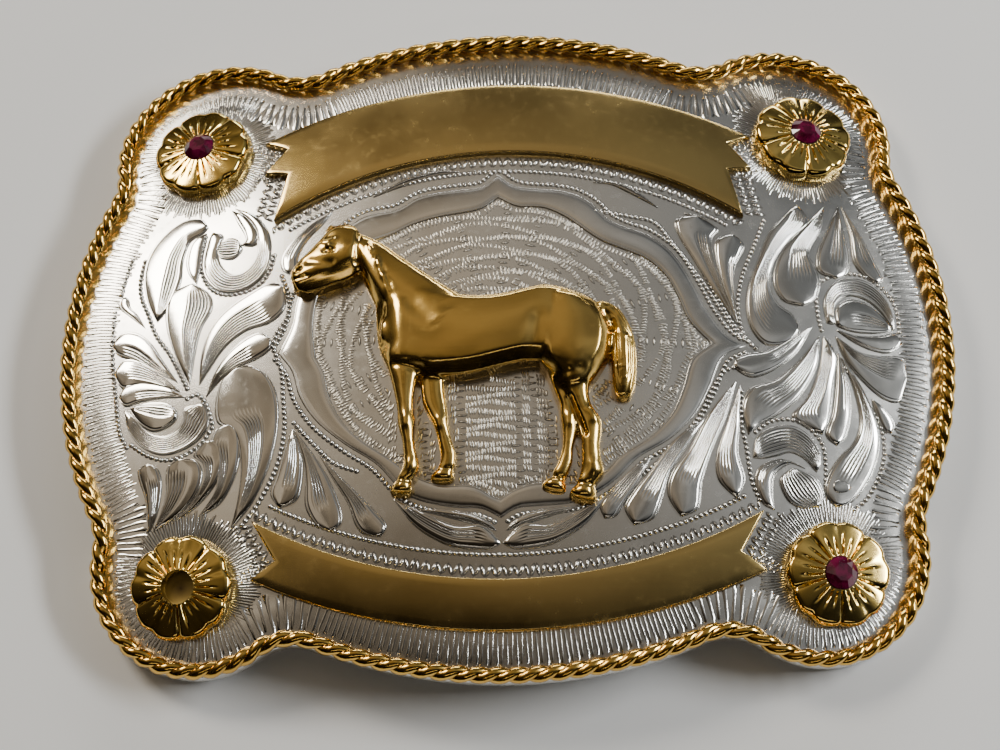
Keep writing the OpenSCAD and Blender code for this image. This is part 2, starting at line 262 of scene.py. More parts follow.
class Shade:
    """A material: its node tree and its surface shader."""

    def __init__(self, name, **constants):
        self.material = bpy.data.materials.new(name)
        self.material.use_nodes = True
        self.tree = self.material.node_tree
        self.surface = self.tree.nodes["Principled BSDF"]
        self.set(**constants)

    @classmethod
    def of_tree(cls, tree):
        made = cls.__new__(cls)
        made.tree = tree
        return made

    def set(self, **sockets):
        for key, value in sockets.items():
            self.put(self.surface.inputs[key.replace("_", " ")], value)

    def put(self, socket, value):
        if isinstance(value, Value):
            self.tree.links.new(value.socket, socket)
        elif isinstance(value, tuple) and len(value) == 3 and socket.type == "RGBA":
            socket.default_value = value + (1.0,)
        else:
            socket.default_value = value

    def node(self, kind, settings=None, inputs=None, out=0):
        """Any node: its settings are set first, then the values or links of its sockets."""
        made = self.tree.nodes.new(kind)
        for key, value in (settings or {}).items():
            setattr(made, key, value)
        for key, value in (inputs or {}).items():
            self.put(made.inputs[key], value)
        return Value(self, made.outputs[out])

    def place(self):
        """Object coordinates."""
        return self.node("ShaderNodeTexCoord", out=3)

    def turned(self, where, scale, turn):
        return self.node("ShaderNodeMapping", {}, {0: where, 3: scale, 2: turn})

    def noise(self, where, scale, detail=2.0, rough=0.5):
        return self.node("ShaderNodeTexNoise", {},
                         {"Vector": where, "Scale": scale, "Detail": detail, "Roughness": rough})

    def attribute(self, name):
        return self.node("ShaderNodeAttribute", {"attribute_name": name}, out=2)

    def mixed(self, a, b, amount):
        return self.node("ShaderNodeMix", {"data_type": "RGBA"}, {0: amount, 6: a, 7: b}, out=2)

    def bump(self, height, distance, strength):
        return self.node("ShaderNodeBump", {}, {"Height": height, "Distance": distance, "Strength": strength})


SCRATCH_DEPTH, SCRATCH_STRENGTH = 0.000004, 0.6
# painted shade: the roughness it adds, and the share of the dull colour that its dark tone takes
PAINTED_SHADE_ROUGH, PAINTED_SHADE_SHARE = 0.30, 0.22


def polished(name, colour, dull, rough, dark=None):
    """Polished metal: slow clouds of haze, fine hairline scratches both ways, and painted shade darkening its
    hollows.
    """
    s = Shade(name, Metallic=1.0)
    where = s.place()
    haze = s.noise(where, 70.0, 4.0, 0.6)
    spots = s.noise(where, 900.0, 3.0, 0.6)
    hair_a = s.noise(s.turned(where, (40, 1500, 400), (0, 0, 0.5)), 1.0, 2.0)
    hair_b = s.noise(s.turned(where, (1300, 60, 400), (0, 0, -0.3)), 1.0, 2.0)
    # painted shade mask: the colour turns dark and rougher wherever the mesh paints shade into its hollows
    hollow = s.attribute("tarnish")
    tint = s.mixed(colour, dull, haze.between(0.45, 0.8) * 0.5 + spots.between(0.6, 0.8) * 0.2)
    s.set(Base_Color=s.mixed(tint, dark or tuple(c * PAINTED_SHADE_SHARE for c in dull), hollow),
          Roughness=(rough + 0.10 * haze.between(0.35, 0.75) + 0.06 * spots.between(0.5, 0.8)
                     + hollow * PAINTED_SHADE_ROUGH),
          Normal=s.bump(hair_a + hair_b + haze * 6.0, SCRATCH_DEPTH, SCRATCH_STRENGTH))
    return s


SILVER, SILVER_DULL = (0.88, 0.86, 0.81), (0.60, 0.56, 0.49)
silver_plate = polished("silver_plate", SILVER, SILVER_DULL, 0.20)
silver_edge = polished("silver_border_cuts", SILVER, SILVER_DULL, 0.12)
silver_ground = polished("silver_ground_marks", (0.84, 0.78, 0.67), SILVER_DULL, 0.24)
silver_leaf = polished("silver_leaf", SILVER, SILVER_DULL, 0.09)
silver_band = polished("silver_band", SILVER, SILVER_DULL, 0.12)
gold_rope = polished("gold_rope", (0.80, 0.50, 0.12), (0.50, 0.26, 0.05), 0.12)
gold_banner = polished("gold_banner", (0.66, 0.48, 0.18), (0.52, 0.35, 0.11), 0.17)
gold_horse = polished("gold_horse", (0.78, 0.52, 0.15), (0.60, 0.38, 0.09), 0.14)
# the flower's painted shade is near black: it darkens the socket well and the bottoms of the ray cuts
gold_flower = polished("gold_flower", (0.92, 0.66, 0.20), (0.66, 0.36, 0.06), 0.09, (0.07, 0.045, 0.02))
nickel = polished("nickel_wire", (0.66, 0.64, 0.60), (0.42, 0.40, 0.36), 0.28)


# The plate
FIELD_IN, BACK_IN = 8.0, 9.0


def plate_piece():
    """Closed dome: polished margin, a shallow recessed field, rounded rim and plain back."""
    # each ring: its inset, its share of the way out from the middle, its height
    rings = [(FIELD_IN, k / 10, FIELD) for k in range(11)]
    rings += [(inset, 1.0, up) for inset, up in (
        (6.6, FIELD), (5.8, -0.10), (5.0, -0.04), (4.4, 0.0), (3.4, 0.0), (2.2, 0.0),
        (1.4, 0.0), (0.6, 0.0), (0.25, 0.0), (0.08, -0.05), (0.0, -0.2))]
    rings += [(inset, 1.0, up - PLATE_T) for inset, up in (
        (0.0, 0.25), (0.06, 0.06), (0.2, 0.0), (1.0, 0.0), (3.0, 0.0), (6.0, 0.0), (BACK_IN, 0.0))]
    rings += [(BACK_IN, k, -PLATE_T) for k in (1.0, 0.85, 0.7, 0.55, 0.4, 0.25, 0.12, 0.0)]

    def place(u, v):
        inset, out, up = rings[round(v * (len(rings) - 1))]
        p = rim(u, inset) * out
        return on_front(p.x, p.y, up)

    bm = new_bm()
    sheet_into(bm, 420, len(rings) - 1, place, close=True, weld=1e-6)
    face_out(bm)
    finish_piece(bm, "plate_body", silver_plate, ("plate",), sharp=40)


# The rope edge
def rope_piece():
    """Two round strands laid round each other along the rim."""
    turns, steps, sides = 75, 1650, 8
    strand, swing = 0.71, 0.36
    near = 0.0005

    def centre(share):
        p = rim(share, ROPE_IN)
        return on_front(p.x, p.y, ROPE_R + SOLDER / 2)

    def strand_place(shift):
        def place(u, v):
            p = centre(u)
            ahead = (centre(u + near) - centre(u - near)).normalized()
            side = ahead.cross((p - MIDDLE).normalized()).normalized()
            up = side.cross(ahead)
            a = TURN * (turns * u) + shift
            out = side * math.cos(a) + up * math.sin(a)
            mid = p + out * (swing * MM)
            # the strand's own direction
            lean = (ahead + (up * math.cos(a) - side * math.sin(a))
                    * (TURN * turns * swing / RIM_LENGTH)).normalized()
            out = (out - lean * out.dot(lean)).normalized()
            b = TURN * v
            return mid + (out * math.cos(b) + lean.cross(out) * math.sin(b)) * (strand * MM)
        return place

    bm = new_bm()
    for shift in (0.0, math.pi):
        sheet_into(bm, steps, sides, strand_place(shift), close=True)
    face_out(bm)
    finish_piece(bm, "rope_edge_twist", gold_rope, ("rope_edge",))


# The banners
BANNER_T, BANNER_CROWN, BANNER_ROUND = 0.9, 0.14, 0.22
BANNER_SUNK = -0.10
BANNERS = {
    # half length, crown y, sign, width, outer radius, inner radius, then the notches as (in, down) shares
    "banner_top": (31.2, 36.3, 1, 11.0, 70.0, 56.0,
                   [(0, 0), (1, 0.21), (0.06, 0.38), (1.08, 0.54), (0.55, 1.0)]),
    "banner_bottom": (31.2, -38.3, -1, 6.2, 70.0, 62.0, [(0, 0), (1, 0.5), (0, 1.0)]),
}
NOTCH = 3.0
RIGHT_MORE = 1.4


def sag(r, x):
    return r - math.sqrt(r * r - x * x)


def banner_point(name, u, v):
    """Plan position on a banner: u from -1 to 1 along it, v from 0 at its outer to 1 at its inner edge."""
    half, crown, sign, width, outer, inner, cuts = BANNERS[name]
    for (a, b), (c, d) in zip(cuts, cuts[1:]):
        if v <= d + 1e-9:
            depth = a + (c - a) * (v - b) / (d - b)
            break
    x = u * (half - depth * NOTCH) + (RIGHT_MORE * max(0.0, u) if name == "banner_top" else 0.0)
    y = -(sag(outer, x) + (width + sag(inner, x) - sag(outer, x)) * v)
    return Vector((x, crown + sign * y))


def banner_edge(name, out):
    """The inner edge of a banner, moved away from it."""
    way = -1 if name == "banner_top" else 1
    return [banner_point(name, u / 40, 1.0) + Vector((0, way * out)) for u in range(-40, 41)]


def banner_piece(name):
    """A bare ribbon, slightly crowned, with rounded edges."""
    cuts = BANNERS[name][6]
    knots = []
    for (_, b), (_, d) in zip(cuts, cuts[1:]):
        knots += [b + (d - b) * i / 3 for i in range(3)]
    knots.append(1.0)
    rows = len(knots) - 1

    def place(u, v):
        across = knots[round(v * rows)]
        p = banner_point(name, 2 * u - 1, across)
        return on_front(p.x, p.y, SOLDER + BANNER_T - BANNER_CROWN * (2 * across - 1) ** 2)

    bm = new_bm()
    sheet_into(bm, 72, rows, place)
    rim_edges = [e for e in bm.edges if e.is_boundary]
    made = bmesh.ops.extrude_edge_only(bm, edges=rim_edges)["geom"]
    for v in made:
        if isinstance(v, bmesh.types.BMVert):
            v.co = on_front(v.co.x / MM, v.co.y / MM, BANNER_SUNK)
    face_out(bm)
    bmesh.ops.bevel(bm, geom=rim_edges, affect="EDGES", offset=BANNER_ROUND * MM, segments=3, profile=0.5,
                    material=-1)
    finish_piece(bm, name + "_ribbon", gold_banner, (name,), sharp=50)


# The engraved border
HALO_OUT = 9.6
CUT_RIDGE = (0.0, 0.2, 1.0, 0.2)
# painted shade across each cut: darkest in the groove, none on the ridge
CUT_PAINTED_SHADE = (0.95, 0.25, 0.0, 0.35)
PER_CUT = len(CUT_RIDGE)


def strip_edges(share):
    """Insets of the border strip's outer and inner edges, by the side of the buckle."""
    out = facing_out(share)
    return (2.3 + 1.3 * max(0.0, out.y) ** 2 - 0.5 * max(0.0, -out.y) ** 2 + 0.6 * max(0.0, out.x) ** 2,
            6.4 + 0.9 * max(0.0, out.y) ** 2)


def cut_shares():
    """Where each border cut stands: wide-set at the upper right and along the bottom, close-set elsewhere."""
    shares, at = [], 0.0
    while at < 1.0:
        shares.append(at)
        out = facing_out(at)
        upper_right = max(0.0, out.dot(Vector((0.86, 0.51))))
        at += (0.47 + 0.20 * upper_right ** 3 + 0.16 * max(0.0, -out.y) ** 4) / RIM_LENGTH
    if len(shares) % 2:
        at = shares.pop()
    return [share / at for share in shares] + [1.0]


def border_cuts():
    """The band of short cuts, leaning to and fro, that runs round inside the polished margin."""
    rng = random.Random(11)
    shares = cut_shares()
    count = len(shares) - 1
    starts = [rng.uniform(-0.25, 0.25) for _ in range(count)]
    ends = [rng.uniform(-0.35, 0.35) for _ in range(count)]
    across = [0.0, 0.04, 0.12, 0.3, 0.5, 0.7, 0.86, 0.95, 1.0]
    columns = count * PER_CUT
    high, low, sunk, lean = 0.17, 0.06, 0.01, 0.40

    def place(u, v):
        row = across[round(v * (len(across) - 1))]
        cut, part = divmod(round(u * columns) % columns, PER_CUT)
        ridge = CUT_RIDGE[part]
        pitch = shares[cut + 1] - shares[cut]
        share = shares[cut] + pitch * part / PER_CUT
        outer, inner = strip_edges(share)
        inset = outer + starts[cut] + (inner + ends[cut] - outer - starts[cut]) * row
        slant = (lean if cut % 2 else -lean) * (2 * row - 1) * ridge
        p = rim(share + slant * pitch, inset)
        body = min(1.0, row / 0.12) * min(1.0, (1.0 - row) / 0.14)
        up = FIELD * 0.9 * row ** 3 + high * ridge * body - low * (1 - ridge) * body - sunk
        return on_front(p.x, p.y, up), CUT_PAINTED_SHADE[part] * body

    bm = new_bm()
    sheet_into(bm, columns, len(across) - 1, place, close=True)
    finish_piece(bm, "border_cuts", silver_edge)


def flower_halos():
    """A ring of radial cuts round each flower."""
    across = [0.0, 0.1, 0.3, 0.6, 0.85, 1.0]
    count, high, lifted, lean = 146, 0.14, 0.005, 0.34
    rng = random.Random(5)
    ends = [rng.uniform(-0.6, 0.4) for _ in range(count)]
    bm = new_bm()
    for x, y in FLOWERS.values():
        def place(u, v):
            row = across[round(v * (len(across) - 1))]
            cut, part = divmod(round(u * count * PER_CUT), PER_CUT)
            ridge = CUT_RIDGE[part]
            r = FLOWER_R - 0.2 + (HALO_OUT + ends[cut % count] - FLOWER_R) * row
            slant = (lean if cut % count % 2 else -lean) * (2 * row - 1) * ridge
            a = TURN * (u + slant / count)
            body = min(1.0, row / 0.1) * min(1.0, (1.0 - row) / 0.15)
            spot = on_front(x + r * math.cos(a), y + r * math.sin(a), FIELD + lifted + high * ridge * body)
            return spot, CUT_PAINTED_SHADE[part] * body
        sheet_into(bm, count * PER_CUT, len(across) - 1, place, close=True)
    finish_piece(bm, "flower_halos", silver_edge)


# Leaves
SHEET_UNITS = 24.0
LEFT_SHEET, RIGHT_SHEET = (-57.0, 24.0), (17.0, 24.0)
LINE_PITCH = 0.44


def on_sheet(corner, points):
    """Points of a drawing sheet, 24 units to the millimetre, y down from its corner."""
    return [(corner[0] + x / SHEET_UNITS, corner[1] - y / SHEET_UNITS) for x, y in points]


LEAF_RIM_UP = (-0.20, 0.02, 0.12, 0.03)
# painted shade in the sunk outline round each leaf, along its rim, and in the bottoms of its fine lines
LEAF_RIM_PAINTED_SHADE = (0.9, 0.45, 0.0, 0.75)
LEAF_LINE = (0.0, -0.7, -1.0, -0.7)
LINE_DEPTH, LINE_PAINTED_SHADE = 0.13, 0.85
LEAF_BASE_UP = 0.07


def leaf_into(bm, left, right, up, lines=(0.2, 0.85), stop=(0.06, 0.78), crown=0.22):
    """One leaf between its left and right edge, both from base to tip; closed below the field."""
    length = max(path_length(left), path_length(right))
    rows = max(18, min(56, round(length / 0.32)))
    a, b = smooth_line(left, rows), smooth_line(right, rows)
    widest = max((p - q).length for p, q in zip(a, b))
    count = 4 * max(2, round(widest * 0.8 / LINE_PITCH))
    share = min(0.12, 0.12 / widest)
    edge = [0.0, share, 2.0 * share, 3.2 * share]
    first = 4.2 * share
    inner = [first + (1 - 2 * first) * i / count for i in range(count + 1)]
    columns = edge + inner + [1 - e for e in reversed(edge)] + [0.0]
    last = len(columns) - 2

    def place(u, v):
        i, j = round(u * rows), round(v * (len(columns) - 1))
        share, t = columns[j], i / rows
        p = a[i].lerp(b[i], share)
        width = (a[i] - b[i]).length
        closing = min(1.0, width / 1.2)
        side = min(j, last - j)
        if side <= 0:
            return on_front(p.x, p.y, LEAF_RIM_UP[0]), LEAF_RIM_PAINTED_SHADE[0]
        if side < len(LEAF_RIM_UP):
            return on_front(p.x, p.y, LEAF_RIM_UP[side] * closing + up), LEAF_RIM_PAINTED_SHADE[side]
        within = held((share - lines[0]) / 0.08) * held((lines[1] - share) / 0.08)
        along = held((t - stop[0]) / 0.12) * held((stop[1] - t) / 0.12)
        cut = within * along * min(1.0, width / 0.8)
        wave = LEAF_LINE[(j - len(edge)) % len(LEAF_LINE)]
        arch = crown * math.sin(math.pi * share) ** 0.8
        h = LEAF_BASE_UP * closing + arch * closing + LINE_DEPTH * wave * cut
        # painted shade in the bottom of each fine line
        return on_front(p.x, p.y, h + up), LINE_PAINTED_SHADE * cut * (wave == min(LEAF_LINE))

    sheet_into(bm, rows, len(columns) - 1, place, close=True, weld=1e-6)


def combed(lines_from, lines_to, start, end, **more):
    """A leaf with fine lines between two shares of its width, from one share of its length to another."""
    return dict(lines=(lines_from, lines_to), stop=(start, end), **more)


# a leaf without fine lines
PLAIN = dict(lines=(2, 3))

LEAVES = {
    # base, left edge, right edge, tip, then what differs from leaf_into's own values
    "left_leaves": (LEFT_SHEET, [
        # hooked leaf at the top and its shadow side
        ((300, 480), [(262, 400), (245, 310), (262, 230), (310, 165), (370, 128), (425, 132)], [(345, 420),
         (372, 350), (374, 280), (390, 215), (425, 190)], (447, 165), dict(lines=(0.55, 0.9))),
        ((420, 364), [(392, 325), (381, 275), (397, 212)], [(432, 310), (436, 245)], (443, 185),
         dict(PLAIN, crown=0.12)),
        # round curl beside it
        ((462, 185), [(438, 255), (440, 330), (480, 390), (540, 410), (600, 392), (642, 345), (655, 280),
         (645, 205), (600, 140)], [(500, 200), (486, 250), (496, 300), (525, 335), (560, 338), (590, 315),
         (606, 280), (606, 235), (590, 180)], (530, 105), combed(0.15, 0.95, 0.2, 0.72, up=-0.02)),
        ((520, 112), [(580, 145), (614, 200), (604, 248)], [(540, 160), (562, 200), (570, 228)],
         (550, 242), PLAIN),
        ((478, 250), [(500, 215), (540, 215)], [(495, 285), (535, 290)], (562, 255),
         dict(lines=(0.1, 0.9))),
        # bud with its stem
        ((264, 497), [(240, 450), (214, 420), (206, 392)], [(215, 455), (172, 415), (174, 388)],
         (192, 378), dict(PLAIN, crown=0.15)),
        # fan above the hub
        ((415, 700), [(372, 620), (335, 520), (325, 440), (345, 385)], [(428, 600), (445, 520), (478, 450),
         (462, 398)], (408, 360), combed(0.45, 0.95, 0.05, 0.85)),
        ((445, 705), [(448, 600), (480, 510), (530, 452), (590, 412), (650, 385)], [(478, 650), (525, 585),
         (590, 540), (660, 522), (704, 475)], (700, 400), combed(0.3, 0.95, 0.05, 0.74)),
        ((468, 745), [(492, 670), (530, 610), (580, 565), (630, 548)], [(515, 690), (560, 660), (620, 640),
         (662, 610)], (662, 575), combed(0.35, 0.95, 0.05, 0.7)),
        ((556, 1160), [(574, 1080), (582, 985), (570, 900), (545, 852), (505, 832), (496, 770),
         (514, 700)], [(620, 1085), (668, 980), (692, 870), (690, 765), (655, 690), (602, 657)],
         (556, 664), combed(0.25, 0.72, 0.1, 0.68)),
        # leaves to the left of the hub
        ((378, 690), [(300, 648), (235, 606), (182, 580)], [(330, 615), (290, 552), (240, 508),
         (190, 502)], (160, 545), combed(0.1, 0.5, 0.05, 0.8)),
        ((390, 722), [(300, 700), (240, 690), (200, 692)], [(335, 668), (265, 612), (205, 592)],
         (172, 640), combed(0.3, 0.9, 0.05, 0.72)),
        ((402, 740), [(330, 737), (262, 742), (215, 752)], [(345, 697), (275, 672), (215, 680)],
         (192, 718), combed(0.15, 0.5, 0.05, 0.7, crown=0.16)),
        # round curl below the hub
        ((212, 762), [(228, 830), (275, 888), (340, 918), (405, 908), (455, 878), (482, 830)], [(248, 790),
         (290, 838), (340, 856), (380, 840), (398, 806), (400, 775)], (462, 762),
         combed(0.12, 0.9, 0.1, 0.95, crown=0.16)),
        ((228, 758), [(262, 812), (305, 842), (350, 832)], [(290, 744), (345, 750), (376, 775)],
         (378, 805), combed(0.45, 0.85, 0.1, 0.8)),
        # lobes hanging from the curl
        ((455, 1118), [(505, 1040), (508, 965), (484, 905), (500, 855)], [(525, 1080), (568, 1000),
         (583, 920), (572, 862)], (536, 838), combed(0.1, 0.6, 0.05, 0.78)),
        ((372, 1132), [(430, 1080), (468, 1010), (464, 955), (434, 925)], [(445, 1090), (505, 1025),
         (530, 955), (520, 900)], (478, 882), combed(0.1, 0.6, 0.05, 0.78)),
        ((320, 1150), [(341, 1085), (353, 1030), (351, 985), (357, 955)], [(400, 1105), (450, 1050),
         (468, 990), (450, 945)], (392, 934), combed(0.1, 0.6, 0.05, 0.75)),
        ((306, 1155), [(290, 1050), (268, 990), (264, 955)], [(332, 1090), (343, 1010), (330, 960)],
         (296, 940), combed(0.3, 0.9, 0.05, 0.7)),
        # leaves in the lower corner of the oval
        ((738, 868), [(768, 950), (770, 1030), (754, 1088)], [(712, 930), (690, 1005), (672, 1062)],
         (700, 1108), combed(0.2, 0.7, 0.1, 0.7)),
        ((742, 872), [(795, 940), (845, 1020), (882, 1105), (888, 1160)], [(768, 960), (776, 1040),
         (778, 1110), (810, 1165)], (855, 1188), combed(0.25, 0.75, 0.1, 0.75)),
        ((815, 950), [(870, 1010), (930, 1070), (985, 1130), (1020, 1175)], [(858, 1030), (905, 1110),
         (925, 1170), (950, 1200)], (1000, 1210), combed(0.25, 0.75, 0.1, 0.75)),
        # leaf before the horse's forehead
        ((842, 150), [(775, 190), (718, 242), (685, 300), (690, 345)], [(815, 190), (768, 245), (742, 300),
         (740, 340)], (715, 360), dict(lines=(0.2, 0.7))),
    ]),
    "right_leaves": (RIGHT_SHEET, [
        # upper fan
        ((508, 135), [(545, 200), (480, 260), (424, 340), (405, 420), (425, 485), (470, 525)], [(420, 230),
         (372, 340), (330, 460), (330, 560), (370, 626), (435, 622)], (484, 580),
         combed(0.15, 0.75, 0.03, 0.8)),
        ((595, 135), [(578, 220), (535, 300), (548, 350), (562, 405), (545, 462)], [(545, 190), (478, 262),
         (428, 345), (413, 420), (440, 478)], (500, 492), combed(0.1, 0.7, 0.03, 0.72)),
        ((640, 130), [(652, 230), (662, 310), (650, 370)], [(592, 230), (556, 310), (556, 370)],
         (610, 392), combed(0.2, 0.65, 0.03, 0.75)),
        ((650, 130), [(712, 250), (748, 340), (762, 385)], [(668, 230), (668, 320), (694, 372)],
         (735, 398), combed(0.2, 0.65, 0.03, 0.75)),
        # eye beside the hub
        ((572, 545), [(566, 470), (600, 408), (660, 384), (722, 400), (765, 450), (782, 520)], [(598, 545),
         (600, 485), (640, 452), (695, 460), (742, 498)], (778, 556),
         combed(0.1, 0.9, 0.05, 0.95, crown=0.14)),
        ((600, 552), [(604, 490), (645, 458), (705, 470), (750, 512)], [(650, 572), (715, 572)],
         (776, 556), combed(0.4, 0.8, 0.35, 0.9)),
        ((598, 566), [(660, 580), (725, 576), (785, 562)], [(645, 602), (700, 628), (755, 634)],
         (800, 600), PLAIN),
        ((594, 588), [(660, 632), (725, 642), (780, 638), (803, 655)], [(622, 670), (672, 738), (725, 785),
         (775, 788)], (803, 715), combed(0.1, 0.6, 0.05, 0.7)),
        ((690, 785), [(732, 815), (756, 860)], [(698, 840), (714, 885)], (740, 892), PLAIN),
        # lower fan
        ((524, 560), [(470, 650), (400, 708), (335, 736), (296, 722)], [(448, 604), (380, 644), (320, 655),
         (284, 675)], (276, 700), combed(0.3, 0.75, 0.03, 0.6)),
        ((545, 588), [(528, 690), (475, 785), (410, 845), (345, 880)], [(478, 668), (398, 738), (320, 768),
         (292, 830)], (308, 915), combed(0.2, 0.75, 0.03, 0.72)),
        ((556, 590), [(592, 650), (576, 740), (560, 840)], [(536, 690), (492, 790), (440, 850),
         (470, 880)], (530, 905), combed(0.3, 0.85, 0.03, 0.8)),
        ((596, 640), [(622, 740), (624, 830), (604, 905)], [(582, 740), (562, 840), (538, 905)],
         (572, 938), combed(0.2, 0.45, 0.03, 0.6)),
        ((602, 650), [(662, 750), (698, 850), (702, 930), (682, 1005), (642, 1072), (600, 1112)],
         [(636, 750), (648, 850), (626, 918), (572, 975), (536, 1030), (524, 1082)], (556, 1126),
         combed(0.3, 0.8, 0.1, 0.8)),
        ((548, 1066), [(562, 1038), (590, 1042)], [(558, 1094), (588, 1090)], (606, 1066),
         dict(PLAIN, up=0.14)),
        # round curl under the fan
        ((318, 985), [(345, 988), (386, 980), (428, 968), (470, 985)], [(332, 920), (385, 884), (450, 882),
         (502, 922), (522, 985)], (505, 1022), combed(0.1, 0.9, 0.05, 0.92, crown=0.16)),
        ((470, 1012), [(430, 1000), (385, 1030), (372, 1075)], [(400, 985), (335, 1010), (316, 1060),
         (336, 1120)], (372, 1140), combed(0.4, 0.9, 0.1, 0.7)),
        ((432, 1012), [(500, 1035), (524, 1085)], [(392, 1050), (410, 1110), (450, 1132)], (505, 1128),
         combed(0.1, 0.9, 0.1, 0.9)),
        # shoulder leaves beside the oval
        ((292, 562), [(255, 440), (235, 330), (236, 270), (256, 236)], [(225, 450), (170, 345), (126, 255),
         (126, 208)], (190, 194), combed(0.1, 0.55, 0.05, 0.75)),
        ((296, 562), [(292, 460), (300, 370), (334, 295)], [(258, 440), (240, 335), (246, 275)],
         (300, 256), combed(0.1, 0.4, 0.05, 0.7)),
        # leaves in the lower corner of the oval
        ((282, 745), [(245, 860), (198, 965), (165, 1060), (150, 1140)], [(192, 850), (128, 960),
         (70, 1040), (60, 1105)], (98, 1166), combed(0.15, 0.8, 0.03, 0.75)),
        ((292, 760), [(284, 880), (276, 970), (292, 1050)], [(245, 880), (208, 980), (210, 1055)],
         (262, 1108), combed(0.3, 0.85, 0.03, 0.78)),
        ((180, 870), [(120, 960), (70, 1040), (50, 1100), (20, 1170)], [(90, 930), (10, 1030), (-40, 1090),
         (-68, 1140)], (-40, 1192), combed(0.2, 0.8, 0.03, 0.75)),
        ((20, 985), [(-20, 1060), (-60, 1120), (-90, 1165)], [(-50, 1030), (-110, 1090), (-140, 1130)],
         (-125, 1172), combed(0.2, 0.8, 0.03, 0.75)),
    ]),
    "bottom_leaves": ((0.0, 0.0), [
        # two pairs under the lower point of the oval, and thin cuts above it; in 24ths of a millimetre too
        ((-330, 524), [(-262, 612), (-160, 672), (-60, 684)], [(-250, 560), (-150, 606), (-70, 606)],
         (-18, 664), combed(0.3, 0.8, 0.1, 0.85)),
        ((296, 524), [(228, 560), (128, 606), (46, 606)], [(228, 612), (126, 672), (32, 684)], (-14, 664),
         combed(0.2, 0.7, 0.1, 0.85)),
        ((-260, 560), [(-190, 580), (-110, 604)], [(-190, 558), (-100, 572), (-50, 600)], (-30, 628),
         dict(PLAIN, up=0.03)),
        ((228, 560), [(156, 558), (70, 572), (18, 600)], [(156, 580), (80, 604)], (-2, 628),
         dict(PLAIN, up=0.03)),
        ((-400, -470), [(-300, -530), (-190, -556)], [(-290, -508), (-190, -536)], (-110, -540), PLAIN),
        ((480, -410), [(400, -455), (340, -490)], [(420, -470), (360, -500)], (284, -500), PLAIN),
        ((560, -392), [(620, -384)], [(600, -372)], (664, -372), PLAIN),
    ]),
}


def leaves(panel):
    """A panel's leaves; neighbours differ a little in height, so that none lie in one plane."""
    corner, rows = LEAVES[panel]
    bm = new_bm()
    for i, (base, left, right, tip, how) in enumerate(rows):
        edges = [on_sheet(corner, [base] + side + [tip]) for side in (left, right)]
        leaf_into(bm, *edges, **dict(how, up=how.get("up", 0.0) + 0.004 * (i % 5)))
    face_out(bm)
    finish_piece(bm, panel, silver_leaf)


# The wavy oval band
OVAL = [
    # outer line and inner line of each quarter, from the left point over the top and round
    ([(-28.5, -2.0), (-26.8, 1.5), (-26.2, 5.0), (-24.8, 9.0), (-22.0, 13.2), (-18.0, 16.6), (-13.5, 17.5),
     (-10.5, 19.3), (-6.0, 20.0), (-2.5, 20.4), (-0.5, 22.3)], [(-23.5, -3.0), (-24.0, 1.0), (-23.6, 5.0),
     (-22.4, 8.5), (-19.8, 12.0), (-17.0, 12.7), (-14.0, 13.7), (-11.5, 15.0), (-8.0, 16.0), (-3.0, 16.9),
     (-0.5, 18.6)]),
    ([(-0.5, 22.3), (2.0, 20.3), (8.0, 19.5), (11.2, 18.0), (13.6, 15.3), (16.0, 14.0), (18.6, 13.0),
     (21.6, 10.4), (24.0, 6.0), (25.6, 2.4), (28.0, -1.2), (30.2, -2.4)], [(-0.5, 18.6), (2.0, 17.2),
     (5.2, 17.0), (8.0, 15.6), (10.2, 13.8), (12.6, 12.0), (15.2, 10.8), (18.2, 9.4), (20.6, 7.0),
     (22.0, 4.0), (23.2, 0.8), (25.8, -2.2)]),
    ([(30.2, -2.4), (27.2, -4.0), (25.4, -8.0), (23.4, -11.6), (20.2, -14.8), (16.2, -17.2), (13.8, -19.6),
     (11.4, -21.4), (8.4, -22.8), (4.4, -23.2), (1.4, -23.4), (-0.7, -24.6)], [(25.8, -2.2), (23.2, -4.4),
     (22.0, -8.0), (20.4, -11.6), (17.6, -14.6), (14.0, -17.0), (11.8, -19.2), (9.2, -20.4), (6.0, -20.4),
     (3.6, -20.3), (1.2, -21.0), (-0.7, -22.2)]),
    ([(-0.7, -24.6), (-3.0, -23.4), (-6.0, -23.2), (-9.8, -22.4), (-12.6, -21.0), (-15.8, -17.4),
     (-19.8, -14.6), (-23.4, -11.4), (-25.6, -8.0), (-26.6, -4.6), (-28.5, -2.0)], [(-0.7, -22.2),
     (-1.8, -21.8), (-4.2, -20.4), (-8.0, -20.2), (-11.4, -18.8), (-14.0, -16.8), (-17.6, -14.2),
     (-20.2, -11.4), (-21.8, -8.0), (-22.4, -5.2), (-23.5, -3.0)]),
]


def oval_line(side, count):
    """The whole outer (0) or inner (1) line of the oval, with count points to a quarter."""
    return [p for quarter in OVAL for p in smooth_line(quarter[side], count)[:-1]]


def frame_band():
    """The polished wavy band round the horse."""
    outer, inner = oval_line(0, 44), oval_line(1, 44)
    rows = len(outer)
    across = [(0.0, -0.20), (0.02, 0.02), (0.05, 0.06), (0.10, 0.03), (0.14, 0.07), (0.3, 0.10), (0.5, 0.11),
              (0.7, 0.10), (0.86, 0.07), (0.90, 0.03), (0.95, 0.06), (0.98, 0.02), (1.0, -0.20), (0.0, -0.20)]

    def place(u, v):
        i, (share, up) = round(u * rows) % rows, across[round(v * (len(across) - 1))]
        p = outer[i].lerp(inner[i], share)
        # painted shade in the band's sunk edges and low grooves
        return on_front(p.x, p.y, up), 0.8 * (up < 0.05)

    bm = new_bm()
    sheet_into(bm, rows, len(across) - 1, place, close=True)
    face_out(bm)
    finish_piece(bm, "oval_band", silver_band)


